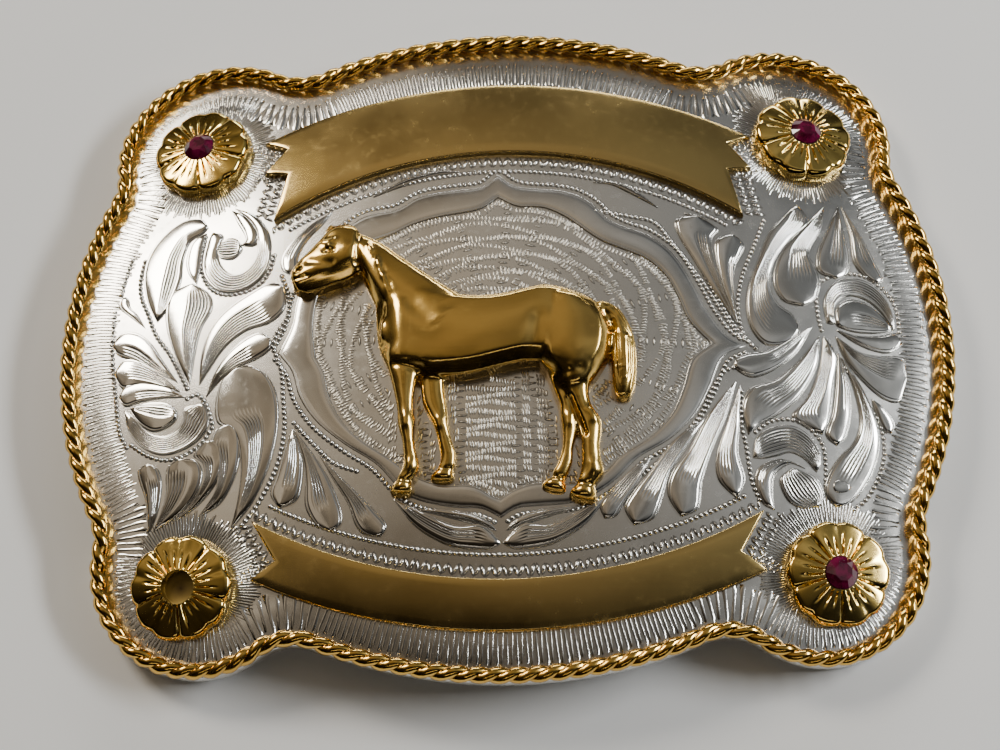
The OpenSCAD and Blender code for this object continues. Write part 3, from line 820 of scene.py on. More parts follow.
# Small marks stamped in number
def stamp(name, shape, places, shade):
    """Many copies of a small shape: places holds each copy's point, turn and size."""
    points = bmesh.new()
    turn_layer = points.verts.layers.float_vector.new("turn")
    size_layer = points.verts.layers.float_vector.new("size")
    for at, turn, size in places:
        v = points.verts.new(at)
        v[turn_layer], v[size_layer] = turn, size
    mark = in_scene(name + "_one", mesh_from(shape, name + "_one"))
    field = in_scene(name + "_field", mesh_from(points, name + "_places"))
    group = bpy.data.node_groups.new(name, "GeometryNodeTree")
    group.interface.new_socket("Geometry", in_out="INPUT", socket_type="NodeSocketGeometry")
    group.interface.new_socket("Geometry", in_out="OUTPUT", socket_type="NodeSocketGeometry")
    make = group.nodes.new
    start, end = make("NodeGroupInput"), make("NodeGroupOutput")
    copies, real = make("GeometryNodeInstanceOnPoints"), make("GeometryNodeRealizeInstances")
    info, turn, size = (make("GeometryNode" + kind)
                        for kind in ("ObjectInfo", "InputNamedAttribute", "InputNamedAttribute"))
    info.inputs["Object"].default_value = mark
    for node, key in ((turn, "turn"), (size, "size")):
        node.data_type = "FLOAT_VECTOR"
        node.inputs["Name"].default_value = key
    link = group.links.new
    link(start.outputs[0], copies.inputs["Points"])
    link(info.outputs["Geometry"], copies.inputs["Instance"])
    link(turn.outputs["Attribute"], copies.inputs["Rotation"])
    link(size.outputs["Attribute"], copies.inputs["Scale"])
    link(copies.outputs[0], real.inputs[0])
    link(real.outputs[0], end.inputs[0])
    field.modifiers.new("copies", "NODES").node_group = group
    bm = bmesh.new()
    bm.from_mesh(shaped(field))
    for o in (field, mark):
        bpy.data.objects.remove(o)
    finish_piece(bm, name, shade)


def lie(x, y, spin=0.0, up=0.0):
    """Point and turn of a mark that lies on the front, its long side turned by spin."""
    at = on_front(x, y, up)
    normal = (at - MIDDLE).normalized()
    ahead = Vector((math.cos(spin), math.sin(spin), 0))
    ahead = (ahead - normal * ahead.dot(normal)).normalized()
    turn = Matrix((ahead, normal.cross(ahead), normal)).transposed()
    return at, turn.to_euler()


MARK_STEP = 0.66
BEADS = [
    # rows on the left sheet
    (LEFT_SHEET, [(440, 200), (432, 290), (445, 350), (475, 392), (520, 412), (575, 408), (620, 388),
        (650, 345), (664, 290)]),
    (LEFT_SHEET, [(248, 262), (238, 330), (245, 390), (270, 450), (300, 525), (345, 590), (380, 655),
        (408, 712)]),
    (LEFT_SHEET, [(690, 365), (712, 430), (715, 500), (680, 560), (668, 600)]),
    (LEFT_SHEET, [(668, 600), (698, 680), (706, 770), (712, 860), (700, 950), (670, 1030), (630, 1100),
        (590, 1150)]),
    (LEFT_SHEET, [(410, 745), (440, 735), (470, 770), (490, 830)]),
    (LEFT_SHEET, [(240, 875), (290, 912), (345, 932), (400, 925), (455, 895), (490, 845)]),
    (LEFT_SHEET, [(740, 850), (800, 920), (860, 980), (930, 1010)]),
    (LEFT_SHEET, [(205, 250), (185, 330), (178, 370)]),
    (LEFT_SHEET, [(160, 430), (160, 560), (185, 740), (200, 830), (225, 880)]),
    # rows on the right sheet
    (RIGHT_SHEET, [(400, 200), (360, 300), (320, 400), (300, 500), (310, 590), (345, 640)]),
    (RIGHT_SHEET, [(560, 400), (545, 450), (545, 520), (552, 570)]),
    (RIGHT_SHEET, [(570, 400), (620, 376), (690, 374), (750, 410), (790, 475), (795, 560)]),
    (RIGHT_SHEET, [(615, 690), (650, 745), (680, 810), (710, 870), (715, 950), (695, 1020), (655, 1090),
        (610, 1130)]),
    (RIGHT_SHEET, [(330, 905), (375, 872), (435, 862), (490, 885), (528, 935), (534, 1000), (530, 1060)]),
    (RIGHT_SHEET, [(290, 700), (245, 720), (200, 790), (165, 860), (100, 940), (30, 1010), (-60, 1075)]),
    (RIGHT_SHEET, [(205, 400), (250, 500), (300, 590), (345, 640)]),
    (RIGHT_SHEET, [(295, 780), (290, 880), (300, 950), (310, 1050), (330, 1110)]),
    (RIGHT_SHEET, [(-120, 180), (-10, 200), (60, 220), (110, 290), (170, 380), (205, 440), (260, 540),
        (300, 610)]),
]


def bead_rows():
    """Rows of small punched beads, each in a ring of painted shade, beside the leaves, the oval and the
    ribbons.
    """
    lines = [smooth_line(on_sheet(corner, row), 60) for corner, row in BEADS]
    for name, gap in (("banner_top", 2.6), ("banner_bottom", 3.1)):
        lines.append(banner_edge(name, gap)[3:-3])
    for out_line, _ in OVAL:
        dense = smooth_line(out_line, 40)
        row = []
        for p, q in zip(dense, dense[1:]):
            ahead = (q - p).normalized()
            row.append((p + q) / 2 + Vector((-ahead.y, ahead.x)) * 0.75)
        lines.append(row)
    places = []
    for line in lines:
        count = max(2, round(path_length(line) / MARK_STEP))
        for p in smooth_line(line, count):
            at, turn = lie(p.x, p.y, up=FIELD + 0.02)
            places.append((at, turn, (1.0, 1.0, 1.0)))
    # each ring: radius, height and painted shade; the shade is painted round the bead's foot
    rings = [(0.38, 0.0, 0.9), (0.28, 0.0, 1.0), (0.23, 0.09, 0.1), (0.13, 0.17, 0.0), (0.0, 0.20, 0.0)]
    stamp("bead_rows", raised_mark(rings, 8), places, silver_band)


def raised_mark(rings, sides, stretch=1.0):
    """A small open mound for stamping: rings of radius, height and painted shade, from its foot to its top.
    """
    bm = new_bm()
    tarnish = bm.verts.layers.float["tarnish"]
    made = bmesh.ops.create_grid(bm, x_segments=sides, y_segments=len(rings) - 1, size=0.5)["verts"]
    for v in made:
        radius, up, dark = rings[round((v.co.y + 0.5) * (len(rings) - 1))]
        a = TURN * (v.co.x + 0.5)
        v.co = Vector((radius * math.cos(a) * stretch, radius * math.sin(a), up)) * MM
        v[tarnish] = dark
    bmesh.ops.remove_doubles(bm, verts=made, dist=1e-7)
    face_out(bm)
    return bm


def ribbon_ticks():
    """Chisel ticks that stand off the inner edge and the swallow tails of each ribbon."""
    rng = random.Random(31)
    lines = []
    for name in BANNERS:
        lines.append(banner_edge(name, 1.15))
        for end in (-1, 1):
            for gap in (1.0, 2.3):
                lines.append([banner_point(name, end, v / 24) + Vector((end * gap, 0)) for v in range(25)])
    places = []
    for line in lines:
        spots = smooth_line(line, round(path_length(line) / MARK_STEP))
        for k, (p, q) in enumerate(zip(spots, spots[1:])):
            lean = (68, 104)[k % 2] + rng.uniform(-8, 8)
            at, turn = lie(p.x, p.y, heading(q - p) + math.radians(lean), FIELD)
            places.append((at, turn, (rng.uniform(1.25, 1.65), rng.uniform(1.3, 1.7), rng.uniform(1.2, 1.6))))
    # painted shade round the foot of each tick
    rings = [(0.20, 0.0, 1.0), (0.14, 0.0, 0.9), (0.10, 0.07, 0.1), (0.05, 0.12, 0.0), (0.0, 0.13, 0.0)]
    stamp("ribbon_ticks", raised_mark(rings, 6, stretch=2.8), places, silver_edge)


def inside(point, line):
    """Whether a point lies inside a closed line."""
    hit = False
    for p, q in zip(line, line[1:] + line[:1]):
        if (p.y > point.y) != (q.y > point.y):
            if point.x < p.x + (q.x - p.x) * (point.y - p.y) / (q.y - p.y):
                hit = not hit
    return hit


BELLY_LOW, BELLY_LEFT, BELLY_RIGHT = -5.0, -14.0, 10.5
STACKS_UNDER_BELLY = (-12.9, -9.8, -5.4, 1.6, 3.6, 5.6, 7.8)
PICKET_STEP, RING_STEP, STROKE_STEP, DASH_STEP = 0.50, 1.06, 0.43, 0.80


def ground_spot(radius, a):
    """A spot on the flattened rings of marks round the horse, and whether it lies under its belly."""
    x, y = -1.0 + 1.12 * radius * math.cos(a), -1.0 + 0.90 * radius * math.sin(a)
    return x, y, y < BELLY_LOW and BELLY_LEFT < x < BELLY_RIGHT


def ground_marks():
    """Chisel marks behind the horse: pickets inside the oval, rings of short strokes, stacks of dashes."""
    rng = random.Random(23)
    edge = oval_line(1, 14)
    dashes, strokes = [], []
    for p, q in zip(edge, edge[1:] + edge[:1]):
        run = q - p
        for k in range(round(run.length / PICKET_STEP)):
            side = Vector((-run.y, run.x)).normalized()
            spot = p + run * ((k + 0.5) * PICKET_STEP / run.length)
            if not inside(spot + side * 0.6, edge):
                side = -side
            spot += side * 0.62
            spin = math.degrees(heading(side)) + rng.uniform(-8, 8)
            strokes.append((spot.x, spot.y, spin, rng.uniform(0.85, 1.1)))
    for ring in range(4, 30):
        radius = ring * RING_STEP
        count = round(TURN * radius / STROKE_STEP)
        for i in range(count):
            a = TURN * (i + rng.uniform(-0.15, 0.15)) / count
            x, y, under_belly = ground_spot(radius * (1 + 0.045 * math.sin(5 * a + 2.3 * ring)), a)
            if under_belly or rng.random() < 0.07:
                continue
            strokes.append((x, y, math.degrees(a) + rng.uniform(-16, 16), rng.uniform(0.8, 1.3)))
    stacks = 20
    for stack in range(stacks):
        a = TURN * (stack + rng.uniform(-0.3, 0.3)) / stacks
        for j in range(7, 44):
            x, y, under_belly = ground_spot(j * DASH_STEP, a)
            if not under_belly:
                dashes.append((x, y, math.degrees(a) + 90 + rng.uniform(-8, 8), rng.uniform(0.95, 1.3)))
    for j in range(22):
        for i in range(68):
            x = -14.2 + 0.365 * i + rng.uniform(-0.07, 0.07)
            y = BELLY_LOW - 1.02 * j - 0.016 * (x + 2.0) ** 2 + 0.22 * math.sin(0.8 * x + 1.9 * j)
            if y < BELLY_LOW and x < BELLY_RIGHT and min(abs(x - at) for at in STACKS_UNDER_BELLY) > 0.40:
                strokes.append((x, y, 90 + 1.4 * x + rng.uniform(-12, 12), rng.uniform(0.9, 1.4)))
    for at in STACKS_UNDER_BELLY:
        for j in range(28):
            x, y = at + 0.3 * math.sin(j * 0.7 + at), -5.2 - DASH_STEP * j
            dashes.append((x, y, rng.uniform(-8, 8), rng.uniform(0.9, 1.25)))
    # painted shade round the foot of each dash and stroke
    dash = [(0.19, 0.0, 1.0), (0.14, 0.0, 1.0), (0.08, 0.05, 0.4), (0.0, 0.08, 0.1)]
    stroke = [(0.16, 0.0, 1.0), (0.14, 0.0, 0.9), (0.10, 0.045, 0.3), (0.0, 0.055, 0.0)]
    for name, spots, rings in (("ground_dashes", dashes, dash), ("ground_strokes", strokes, stroke)):
        places = []
        for x, y, spin, size in spots:
            at = Vector((x, y))
            if inside(at, edge) and not near_horse(at, 0.50):
                places.append(lie(x, y, math.radians(spin), FIELD - 0.005)
                              + ((size, 1.0, rng.uniform(0.8, 1.3)),))
        stamp(name, raised_mark(rings, 6, stretch=3.2), places, silver_ground)


# The horse
# Each part: its height above the front at its start, middle and end, then its two edges from start to end.
HORSE_PARTS = {
    "far_hind_leg": ((2.2, 1.8, 1.5), [(5.0, -5.4), (5.7, -7.6), (6.2, -9.2), (6.8, -11.0), (6.9, -12.8),
        (7.1, -14.6), (7.05, -16.2), (6.7, -17.6), (6.1, -19.0), (5.4, -20.0)], [(8.6, -7.0), (8.4, -9.0),
        (8.4, -11.0), (8.8, -13.0), (8.5, -14.8), (8.1, -16.4), (8.0, -17.8), (7.7, -18.8), (7.2, -19.9),
        (6.9, -20.6)]),
    "far_hind_hoof": ((1.3, 1.6, 1.2), [(5.6, -19.8), (4.6, -20.6), (4.2, -21.6)], [(7.0, -20.2),
        (7.1, -21.2), (6.9, -22.2)]),
    "far_front_leg": ((2.0, 1.7, 1.5), [(-10.4, -5.6), (-10.1, -8.6), (-9.9, -10.2), (-9.3, -11.5),
        (-8.6, -13.0), (-8.2, -14.4), (-7.9, -16.0), (-7.7, -17.3), (-8.0, -18.3), (-8.6, -19.2)],
        [(-7.5, -5.6), (-7.5, -8.5), (-7.3, -10.0), (-7.1, -11.6), (-7.0, -13.1), (-6.8, -14.5),
        (-6.5, -15.6), (-6.2, -16.6), (-6.2, -17.8), (-6.5, -19.2)]),
    "far_front_hoof": ((1.3, 1.6, 1.2), [(-8.0, -18.4), (-8.9, -19.3), (-9.3, -20.3)], [(-6.4, -18.5),
        (-6.4, -19.3), (-6.4, -20.4)]),
    "tail": ((2.8, 2.7, 1.8), [(11.4, 1.6), (12.6, 0.9), (13.5, -0.6), (13.6, -2.6), (13.4, -5.0),
        (13.4, -7.4), (13.5, -8.8), (14.0, -10.2)], [(11.6, 2.6), (12.8, 2.3), (14.2, 1.5), (15.3, -0.2),
        (16.0, -2.4), (16.2, -4.6), (16.1, -7.0), (15.8, -8.8), (15.0, -10.4)]),
    "trunk": ((3.2, 4.1, 3.6), [(-15.2, 0.8), (-12.8, 4.2), (-9.6, 4.4), (-6.4, 3.4), (-3.0, 3.0),
        (0.0, 3.2), (3.0, 3.9), (5.2, 4.3), (8.0, 3.8), (11.0, 2.5), (12.8, 0.6)], [(-15.6, -1.6),
        (-14.2, -4.6), (-12.0, -6.2), (-10.0, -6.8), (-7.5, -7.0), (-4.0, -6.8), (0.0, -5.9), (2.5, -5.4),
        (5.0, -5.4), (8.6, -6.2), (12.4, -3.4)]),
    "chest": ((3.3, 3.7, 3.2), [(-14.4, 6.0), (-15.7, 3.2), (-15.7, 0.4), (-15.5, -2.0), (-15.0, -3.9),
        (-14.3, -5.6)], [(-8.0, 5.2), (-8.4, 3.0), (-8.6, 0.0), (-9.0, -2.4), (-9.8, -4.6),
        (-10.8, -6.6)]),
    "haunch": ((3.9, 4.2, 3.0), [(4.9, 4.0), (4.1, 0.0), (4.0, -3.0), (4.6, -5.6), (6.2, -7.4),
        (7.4, -9.6)], [(10.2, 3.0), (12.6, 0.6), (13.3, -1.6), (12.9, -4.4), (11.6, -6.8), (10.2, -8.8)]),
    "near_hind_leg": ((3.0, 2.5, 2.1), [(7.0, -6.8), (7.6, -9.6), (8.4, -11.8), (9.1, -13.7), (9.4, -15.6),
        (9.4, -17.6), (9.3, -18.8), (9.0, -20.2), (8.3, -21.3)], [(11.0, -7.4), (10.2, -9.0),
        (10.3, -10.6), (10.8, -11.9), (11.6, -13.1), (11.5, -15.0), (11.3, -16.6), (11.5, -18.4),
        (11.75, -19.6), (10.9, -20.7), (10.5, -21.6)]),
    "near_hind_hoof": ((1.8, 2.2, 1.7), [(8.9, -20.7), (7.9, -21.8), (7.4, -22.8)], [(10.6, -20.9),
        (10.7, -22.0), (10.5, -23.5)]),
    "near_front_leg": ((3.1, 2.4, 2.0), [(-15.2, -2.6), (-14.4, -5.2), (-13.8, -7.2), (-13.3, -9.4),
        (-13.0, -11.2), (-12.9, -13.1), (-12.45, -14.8), (-12.25, -16.6), (-12.3, -18.4), (-12.8, -19.4),
        (-13.4, -20.5)], [(-10.2, -3.6), (-10.6, -6.0), (-11.0, -8.0), (-11.25, -10.0), (-11.2, -11.8),
        (-11.05, -13.0), (-11.2, -14.2), (-11.05, -16.2), (-10.6, -18.2), (-11.0, -19.3), (-11.6, -20.4)]),
    "near_front_hoof": ((1.7, 2.1, 1.6), [(-12.9, -19.7), (-13.6, -20.6), (-14.2, -21.8)], [(-11.4, -19.9),
        (-11.5, -20.9), (-11.5, -22.0)]),
    "neck": ((2.8, 3.4, 4.1), [(-19.8, 13.8), (-17.4, 12.6), (-15.1, 11.2), (-13.0, 9.4), (-10.0, 7.0),
        (-8.0, 5.4), (-5.2, 3.2), (-3.4, 1.8)], [(-18.6, 9.8), (-17.8, 7.8), (-17.3, 6.2), (-16.5, 4.4),
        (-15.7, 2.6), (-14.8, 0.2), (-13.0, -2.0), (-11.0, -3.2)]),
    "head": ((3.3, 3.4, 2.7), [(-17.9, 13.4), (-19.6, 14.3), (-21.6, 14.0), (-22.7, 12.8), (-23.7, 11.6),
        (-24.7, 10.5), (-25.7, 9.5), (-26.6, 8.2), (-26.9, 7.0)], [(-17.7, 9.6), (-18.1, 7.9),
        (-19.6, 6.9), (-21.4, 6.4), (-23.2, 5.8), (-24.8, 5.5), (-25.7, 5.6), (-26.5, 5.9)]),
    "front_ear": ((3.2, 2.7, 1.7), [(-22.3, 12.0), (-22.4, 13.8), (-22.0, 15.0)], [(-20.2, 12.4),
        (-20.9, 13.9), (-21.6, 15.0)]),
    "back_ear": ((3.2, 2.7, 1.7), [(-20.5, 12.6), (-20.5, 14.1), (-19.9, 15.0)], [(-18.3, 12.4),
        (-18.8, 14.0), (-19.5, 15.0)]),
}
HORSE_VOXEL, HORSE_SWELL, HORSE_SUNK = 0.20, 0.14, 0.14


def horse_flanks(name):
    """How broad the flanks along a part's two edges are: steep along the back, broad under the jaw."""
    if name.endswith("_leg"):
        return 0.6, 0.6
    return {"trunk": (0.5, 1.0), "neck": (0.5, 1.0), "head": (0.5, 1.3)}.get(name, (1.0, 1.0))


def horse_section(width, high, broad):
    """Half a part's section as share across and height: a wall, a 45 degree flank and a low crown."""
    flank = min(1.5, 0.45 * width / 2) * broad
    rise = min(flank, 0.42 * high)
    crown = min(0.30, 0.12 * high)
    wall = high - rise - crown
    b = flank / max(width, 0.01)
    points = [(0.0, -1.2), (0.0, 0.3 * wall), (0.0, wall), (0.5 * b, wall + 0.55 * rise), (b, wall + rise)]
    for k in range(1, 6):
        points.append((b + (0.5 - b) * k / 5, wall + rise + crown * math.sin(math.pi / 2 * k / 5)))
    return points


def horse_part_into(bm, flanks, heights, left, right):
    """A closed bar between two edges, half sunk in the plate, with rounded ends."""
    length = max(path_length(left), path_length(right))
    rows = max(10, round(length / 0.4))
    a, b = smooth_line(left, rows), smooth_line(right, rows)
    for i, (p, q) in enumerate(zip(a, b)):
        wider = (q - p).normalized() * HORSE_SWELL
        a[i], b[i] = p - wider, q + wider
    first, middle, last = heights
    sections = []
    for i in range(rows + 1):
        t = i / rows
        end = first if t < 0.5 else last
        high = end + (middle - end) * math.sin(math.pi * t)
        near, far = (horse_section((a[i] - b[i]).length, high, broad) for broad in flanks)
        sections.append(near + [(1 - s, up) for s, up in reversed(far[:-1])] + [near[0]])
    girth = len(sections[0]) - 1

    def place(u, v):
        i = round(u * rows)
        share, up = sections[i][round(v * girth)]
        width = (a[i] - b[i]).length
        soft = min(1.0, min(i, rows - i) / rows * length / min(0.8, 0.4 * width + 0.01))
        soft = math.sqrt(1 - (1 - soft) ** 2)
        p = a[i].lerp(b[i], 0.5 + (share - 0.5) * soft)
        return on_front(p.x, p.y, up * soft)

    sheet_into(bm, rows, girth, place, close=True, weld=1e-6)


def off_line(point, p, q):
    """How far a point lies from the line between two others."""
    span = q - p
    t = held((point - p).dot(span) / max(span.length_squared, 1e-9))
    return (point - p - span * t).length


def sculpt(bm, marks):
    """Press or raise soft strokes: start, end, radius and depth in millimetres."""
    fade, lowest = 2.5, 0.5
    for (x0, y0), (x1, y1), radius, depth in marks:
        line = Vector((x0, y0)), Vector((x1, y1))
        reach = fade * radius
        left, right = min(x0, x1) - reach, max(x0, x1) + reach
        low, high = min(y0, y1) - reach, max(y0, y1) + reach
        for v in bm.verts:
            x, y = v.co.x / MM, v.co.y / MM
            if not (left < x < right and low < y < high):
                continue
            away = off_line(Vector((x, y)), *line) / radius
            out = v.co - MIDDLE
            if away < fade and out.length / MM - DOME_R > lowest:
                v.co += out.normalized() * (depth * MM * math.exp(-away * away))


HORSE_MARKS = [
    # eye with its brow and lower lid, nostril, mouth, cheek
    ((-21.8, 11.0), (-21.8, 11.0), 0.40, 0.36), ((-22.6, 11.5), (-21.2, 11.8), 0.26, 0.20),
    ((-22.4, 10.4), (-21.2, 10.3), 0.24, -0.22), ((-25.9, 7.9), (-25.6, 8.1), 0.24, -0.38),
    ((-26.6, 6.7), (-24.6, 7.1), 0.16, -0.34), ((-24.4, 9.0), (-21.6, 8.6), 0.6, -0.20),
    ((-18.2, 12.4), (-18.3, 8.8), 0.32, -0.34), ((-19.6, 10.4), (-19.4, 9.4), 1.0, 0.14),
    # shoulder, elbow, flank, stifle, buttock
    ((-12.0, 3.0), (-9.0, -0.6), 1.0, -0.10), ((-14.9, 2.0), (-14.6, -2.6), 1.2, -0.55),
    ((-13.2, -5.4), (-10.2, -6.2), 0.5, -0.30),
    ((3.6, -4.4), (4.4, -0.6), 1.0, -0.16), ((7.0, -7.6), (9.4, -7.0), 0.45, -0.15),
    ((8.0, -7.0), (8.5, -7.2), 0.4, 0.12), ((12.0, 1.4), (13.4, -1.4), 0.3, -0.5),
    ((13.4, -1.4), (12.9, -5.0), 0.3, -0.5),
    # knees, hocks and fetlocks
    ((-12.0, -12.4), (-12.0, -13.2), 0.6, 0.22), ((-8.0, -12.6), (-7.9, -13.3), 0.55, 0.18),
    ((10.6, -12.2), (10.9, -13.2), 0.6, 0.28), ((7.9, -12.6), (7.9, -13.4), 0.6, 0.20),
    ((-11.6, -18.2), (-11.6, -18.6), 0.6, 0.20), ((10.6, -18.9), (10.6, -19.4), 0.7, 0.20),
    ((8.0, -10.4), (9.7, -15.0), 0.28, -0.5),
]

# where parts of the horse meet: place and radius to soften
HORSE_JOINS = [(-9.6, 5.0, 3.4), (-12.6, 4.2, 2.4), (-17.6, 8.6, 1.8), (-12.6, -4.4, 2.6), (-8.6, -6.4, 1.6),
               (8.6, -7.6, 2.6), (9.4, -10.4, 1.6), (12.6, 1.2, 1.6), (4.4, -2.6, 2.4), (-7.4, 4.9, 1.8),
               (9.6, 2.9, 1.9)]


def tail_and_mane_marks():
    """Long grooves down the tail and a scatter of small locks along the lower edge of the mane."""
    rng = random.Random(3)
    marks = []
    for k in range(5):
        share = (k + 0.5) / 5
        x = 13.6 + 2.3 * share
        marks += [((12.2 + 1.6 * share, 1.8 - 0.4 * share), (x, -1.5 - share), 0.17, -0.22),
                  ((x, -1.9 - share), (x, -6.1), 0.17, -0.22), ((x, -6.5), (14.1 + share, -9.8), 0.17, -0.20)]
    for k in range(16):
        share = (k + rng.uniform(0.2, 0.8)) / 16
        x = -16.9 + 2.6 * share + rng.uniform(-0.4, 0.4)
        y = 11.2 - 6.6 * share + rng.uniform(-0.4, 0.4)
        marks.append(((x, y), (x + 0.25, y - 0.7), 0.26, rng.choice((-0.06, 0.07, 0.09))))
    return marks


def soften(bm, spots, passes):
    """Smooth the joins of the horse's parts within a radius of each spot."""
    for x, y, radius in spots:
        near = [v for v in bm.verts if (v.co.x / MM - x) ** 2 + (v.co.y / MM - y) ** 2 < radius ** 2]
        for _ in range(passes):
            rub(bm, near)


def near_horse(point, gap):
    """Whether a point lies on the horse or within a gap of it."""
    for _, left, right in HORSE_PARTS.values():
        ring = [Vector(p) for p in left + right[::-1]]
        sides = zip(ring, ring[1:] + ring[:1])
        if inside(point, ring) or any(off_line(point, p, q) < gap for p, q in sides):
            return True
    return False


def horse_piece():
    """The standing horse in high relief, its parts fused, rounded and creased."""
    bm = new_bm()
    for name, (heights, left, right) in HORSE_PARTS.items():
        horse_part_into(bm, horse_flanks(name), heights, left, right)
    face_out(bm)
    rough = in_scene("horse_rough", mesh_from(bm, "horse_rough"))
    remesh = rough.modifiers.new("fuse", "REMESH")
    remesh.mode, remesh.voxel_size = "VOXEL", HORSE_VOXEL * MM
    bm = new_bm()
    bm.from_mesh(shaped(rough))
    bpy.data.objects.remove(rough)
    for _ in range(2):
        rub(bm, bm.verts)
    soften(bm, HORSE_JOINS, 8)
    sculpt(bm, HORSE_MARKS)
    sculpt(bm, tail_and_mane_marks())
    rub(bm, bm.verts, 0.3)
    lowest = (DOME_R - HORSE_SUNK) * MM
    under = [v for v in bm.verts if (v.co - MIDDLE).length < lowest]
    for v in under:
        v.co = MIDDLE + (v.co - MIDDLE).normalized() * lowest
    bmesh.ops.dissolve_limit(bm, angle_limit=0.02, verts=under, edges=[])
    face_out(bm)
    finish_piece(bm, "horse_relief", gold_horse, ("horse",))


# The corner flowers
PETALS, BLOOM_R = 5, 6.6
RAYS, PER_RAY = 25, 16
RAY_DEPTH, CREASE_DEPTH, RAY_PAINTED_SHADE = 0.32, 0.30, 0.30
BLOOM_DROP, EDGE_FROM, EDGE_DROP = 0.72, 0.93, 0.60


def petal_part(a):
    """How far angle a lies across its petal, from 0 to 1."""
    return ((a / TURN - 0.75) * PETALS) % 1.0


def petal_edge(a):
    """Outline of a flower as a share of its radius: five petals, each with a notch in its middle."""
    part = petal_part(a)
    return (1 - 0.09 * (1 - math.sqrt(max(0.0, math.sin(math.pi * part))))
            - 0.05 * math.exp(-((part - 0.5) / 0.11) ** 2))


def flower_piece(name, at, seed):
    """A domed flower with a stepped rim, creases between its petals and bright rays cut from the middle."""
    rng = random.Random(seed)
    foot = on_front(*at)
    turn = Vector((0, 0, 1)).rotation_difference((foot - MIDDLE).normalized()).to_matrix()
    columns = RAYS * PER_RAY
    lengths = [rng.uniform(0.82, 0.92) if k % PETALS == 0 else rng.uniform(0.60, 0.84) for k in range(RAYS)]
    widths = [0.46 if k % PETALS == 0 else rng.uniform(0.30, 0.44) for k in range(RAYS)]
    shares = [0.325, 0.345] + [(38 + 4 * k) / 100 for k in range(15)] + [0.97, 0.99, 1.0]
    well = FLOWER_H - SOCKET_DEPTH
    # each ring: its kind, then its radius or its share of the edge, its height and its painted shade
    # painted shade, at its darkest, fills the socket well
    rings = [("well", 0.0, well, 1.0), ("well", 1.9, well, 0.65),
             ("well", SOCKET_R, well + 0.05, 0.5), ("well", SOCKET_R, FLOWER_H - 0.12, 0.5)]
    rings += [("top", share, FLOWER_H - BLOOM_DROP * share ** 1.7, 0.0) for share in shares]
    rings += [("side", 1.0, 0.55, 0.0), ("foot", 0.985, FIELD, 0.0)]
    rings += [("foot", share, -0.15, 0.0) for share in (0.9, 0.4, 0.0)]
    last = len(rings) - 1

    def place(u, v):
        row, column = round(v * last), round(u * columns) % columns
        kind, share, z, dark = rings[row]
        a = TURN * column / columns + 1.5 * math.pi
        r = share if kind == "well" else share * petal_edge(a) * BLOOM_R
        if kind == "top":
            k = row - 4
            r = max(r if k else SOCKET_R, SOCKET_R + 0.02 * k)
            ray, part = divmod(column, PER_RAY)
            part /= PER_RAY
            line = ray if part < 0.5 else (ray + 1) % RAYS
            reach = held((lengths[line] - share) / 0.30) * held((share - 0.33) / 0.05)
            cut = max(0.0, 1 - min(part, 1 - part) * 2 / widths[line]) * reach
            petal = petal_part(a)
            crease = math.exp(-(min(petal, 1 - petal) / 0.04) ** 2) * max(0.0, share - 0.40)
            z -= RAY_DEPTH * cut + CREASE_DEPTH * crease
            z -= 0.10 * (1 - math.sin(math.pi * petal) ** 0.6) * share ** 3
            z -= 0.16 * math.exp(-((petal - 0.5) / 0.06) ** 2) * max(0.0, share - 0.6)
            z -= EDGE_DROP * (max(0.0, share - EDGE_FROM) / (1 - EDGE_FROM)) ** 2
            # painted shade in the bottom of each ray cut
            dark = RAY_PAINTED_SHADE * (cut > 0.85)
        out = foot + turn @ (Vector((r * math.cos(a), r * math.sin(a), SOLDER if kind == "foot" else z)) * MM)
        if kind == "foot":
            out = on_front(out.x / MM, out.y / MM, z)
        return out, dark

    bm = new_bm()
    sheet_into(bm, columns, last, place, close=True, weld=1e-6)
    face_out(bm)
    finish_piece(bm, name + "_bloom", gold_flower, (name,), sharp=55)


# The stones, the belt loop and the hook post keep their solids
def dress(node, shade):
    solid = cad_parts[node].data
    solid.materials.clear()
    solid.materials.append(shade.material)


def ruby():
    """Cut red stone with a faint cloud."""
    s = Shade("ruby", Metallic=0.0, Roughness=0.04, IOR=1.76, Coat_Weight=0.3, Coat_Roughness=0.03)
    cloud = s.noise(s.place(), 700.0, 3.0, 0.6)
    s.set(Base_Color=s.mixed((0.05, 0.001, 0.012), (0.15, 0.003, 0.04), cloud.between(0.35, 0.7)))
    return s


# Build
plate_piece()
rope_piece()
for banner in BANNERS:
    banner_piece(banner)
border_cuts()
flower_halos()
frame_band()
for panel in LEAVES:
    leaves(panel)
bead_rows()
ribbon_ticks()
ground_marks()
horse_piece()
for seed, (flower, at) in enumerate(FLOWERS.items()):
    flower_piece(flower, at, seed)
stone_shade = ruby()
for stone in ("stone_top_left", "stone_top_right", "stone_bottom_right"):
    dress(stone, stone_shade)
for hidden in ("belt_loop", "hook_post"):
    dress(hidden, nickel)


# Floor, light and camera
def floor_piece():
    bm = new_bm()
    bmesh.ops.create_grid(bm, x_segments=2, y_segments=2, size=3.0)
    mesh = mesh_from(bm, "floor")
    mesh.materials.append(Shade("pale_floor", Base_Color=(0.90, 0.90, 0.89), Roughness=0.8).material)
    in_scene("floor", mesh)


def soft_light(name, at, size, power, colour=(1, 1, 1)):
    """A rectangular light that faces the buckle."""
    data = bpy.data.lights.new(name, "AREA")
    data.shape, data.energy, data.color = "RECTANGLE", power, colour
    data.size, data.size_y = size
    light = in_scene(name, data)
    light.location = at
    light.rotation_euler = (-Vector(at)).to_track_quat("-Z", "Y").to_euler()


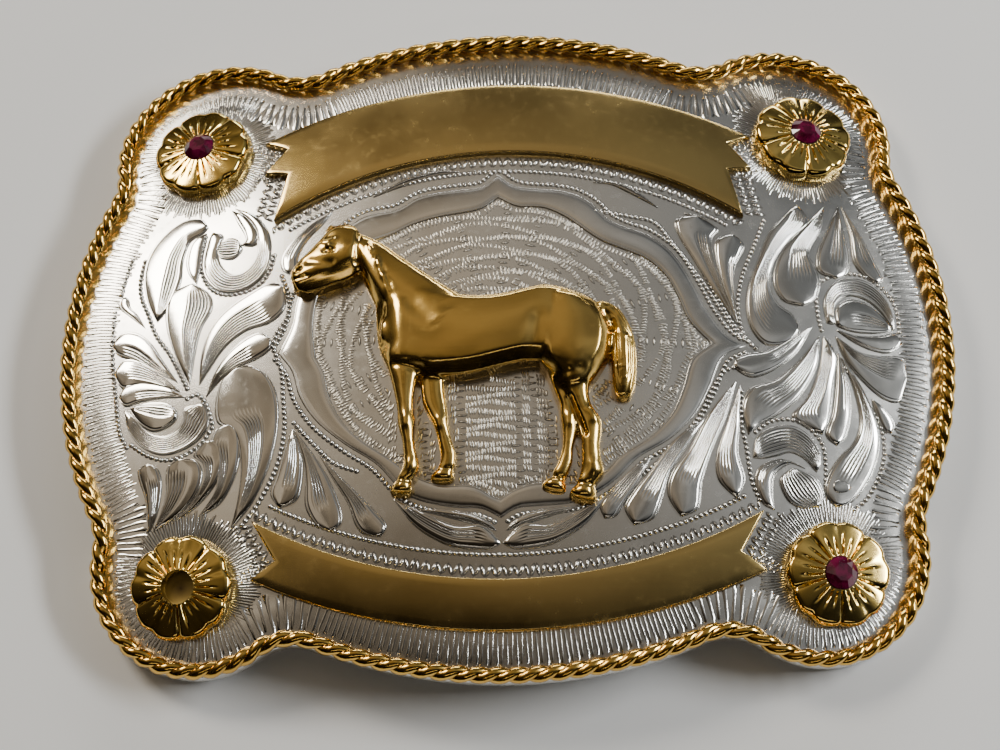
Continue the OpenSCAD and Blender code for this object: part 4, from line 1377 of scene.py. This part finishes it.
def surroundings():
    """A dim room: grey overhead, dark towards the viewer and the horizon, warmer on the left."""
    world = bpy.data.worlds.new("studio")
    bpy.context.scene.world = world
    world.use_nodes = True
    sky = Shade.of_tree(world.node_tree)
    way = sky.node("ShaderNodeTexCoord")
    x, y, z = (sky.node("ShaderNodeSeparateXYZ", {}, {0: way}, out=i) for i in range(3))
    high = z.between(0.05, 0.80) * 0.26 + 0.012
    behind = (y + x * 0.15).between(-0.26, 0.30) * 0.95 + 0.05
    far_end = 1.0 - y.between(0.45, 0.85) * 0.6
    blot = sky.noise(way, 3.2, 2.0, 0.5).between(0.36, 0.64) * 0.9 + 0.50
    warm = sky.mixed((1.0, 0.80, 0.56), (0.94, 0.98, 1.0), (x + y * 0.2).between(-0.15, 0.60))
    colour, strength = world.node_tree.nodes["Background"].inputs[:2]
    sky.put(colour, warm)
    sky.put(strength, high * behind * far_end * blot)


def camera():
    """The photograph's angle: its turn to the buckle, how far off it stands and how wide it sees."""
    tilt, yaw, roll = math.radians(23.0), math.radians(-1.35), math.radians(0.81)
    away, right, up, view_deg = 249.8, 0.45, 6.01, 28.0
    turn = Matrix.Rotation(roll, 3, "Z") @ Matrix.Rotation(-tilt, 3, "X") @ Matrix.Rotation(yaw, 3, "Y")
    back = turn.transposed()
    at = back @ Vector((-right, -up, away)) + Vector((0, 0, DOME_MIDDLE + DOME_R))
    data = bpy.data.cameras.new("camera")
    data.angle = math.radians(view_deg)
    data.clip_start = 0.01
    eye = in_scene("camera", data)
    eye.matrix_world = Matrix.Translation(at * MM) @ back.to_4x4()
    bpy.context.scene.camera = eye


floor_piece()
surroundings()
soft_light("window", (-0.47, 0.46, 0.53), (0.24, 0.24), 3.6, (1.0, 0.92, 0.80))
soft_light("left_fill", (-0.45, 0.05, 0.69), (0.30, 0.22), 0.06, (1.0, 0.84, 0.64))
soft_light("back_strip", (0.10, 0.92, 0.28), (0.6, 0.08), 2.5)
soft_light("right_strip", (0.62, 0.10, 0.42), (0.40, 0.10), 4.6, (0.95, 0.98, 1.0))
soft_light("front_strip", (0.10, -0.70, 0.70), (0.9, 0.06), 0.45, (1.0, 0.90, 0.76))
camera()
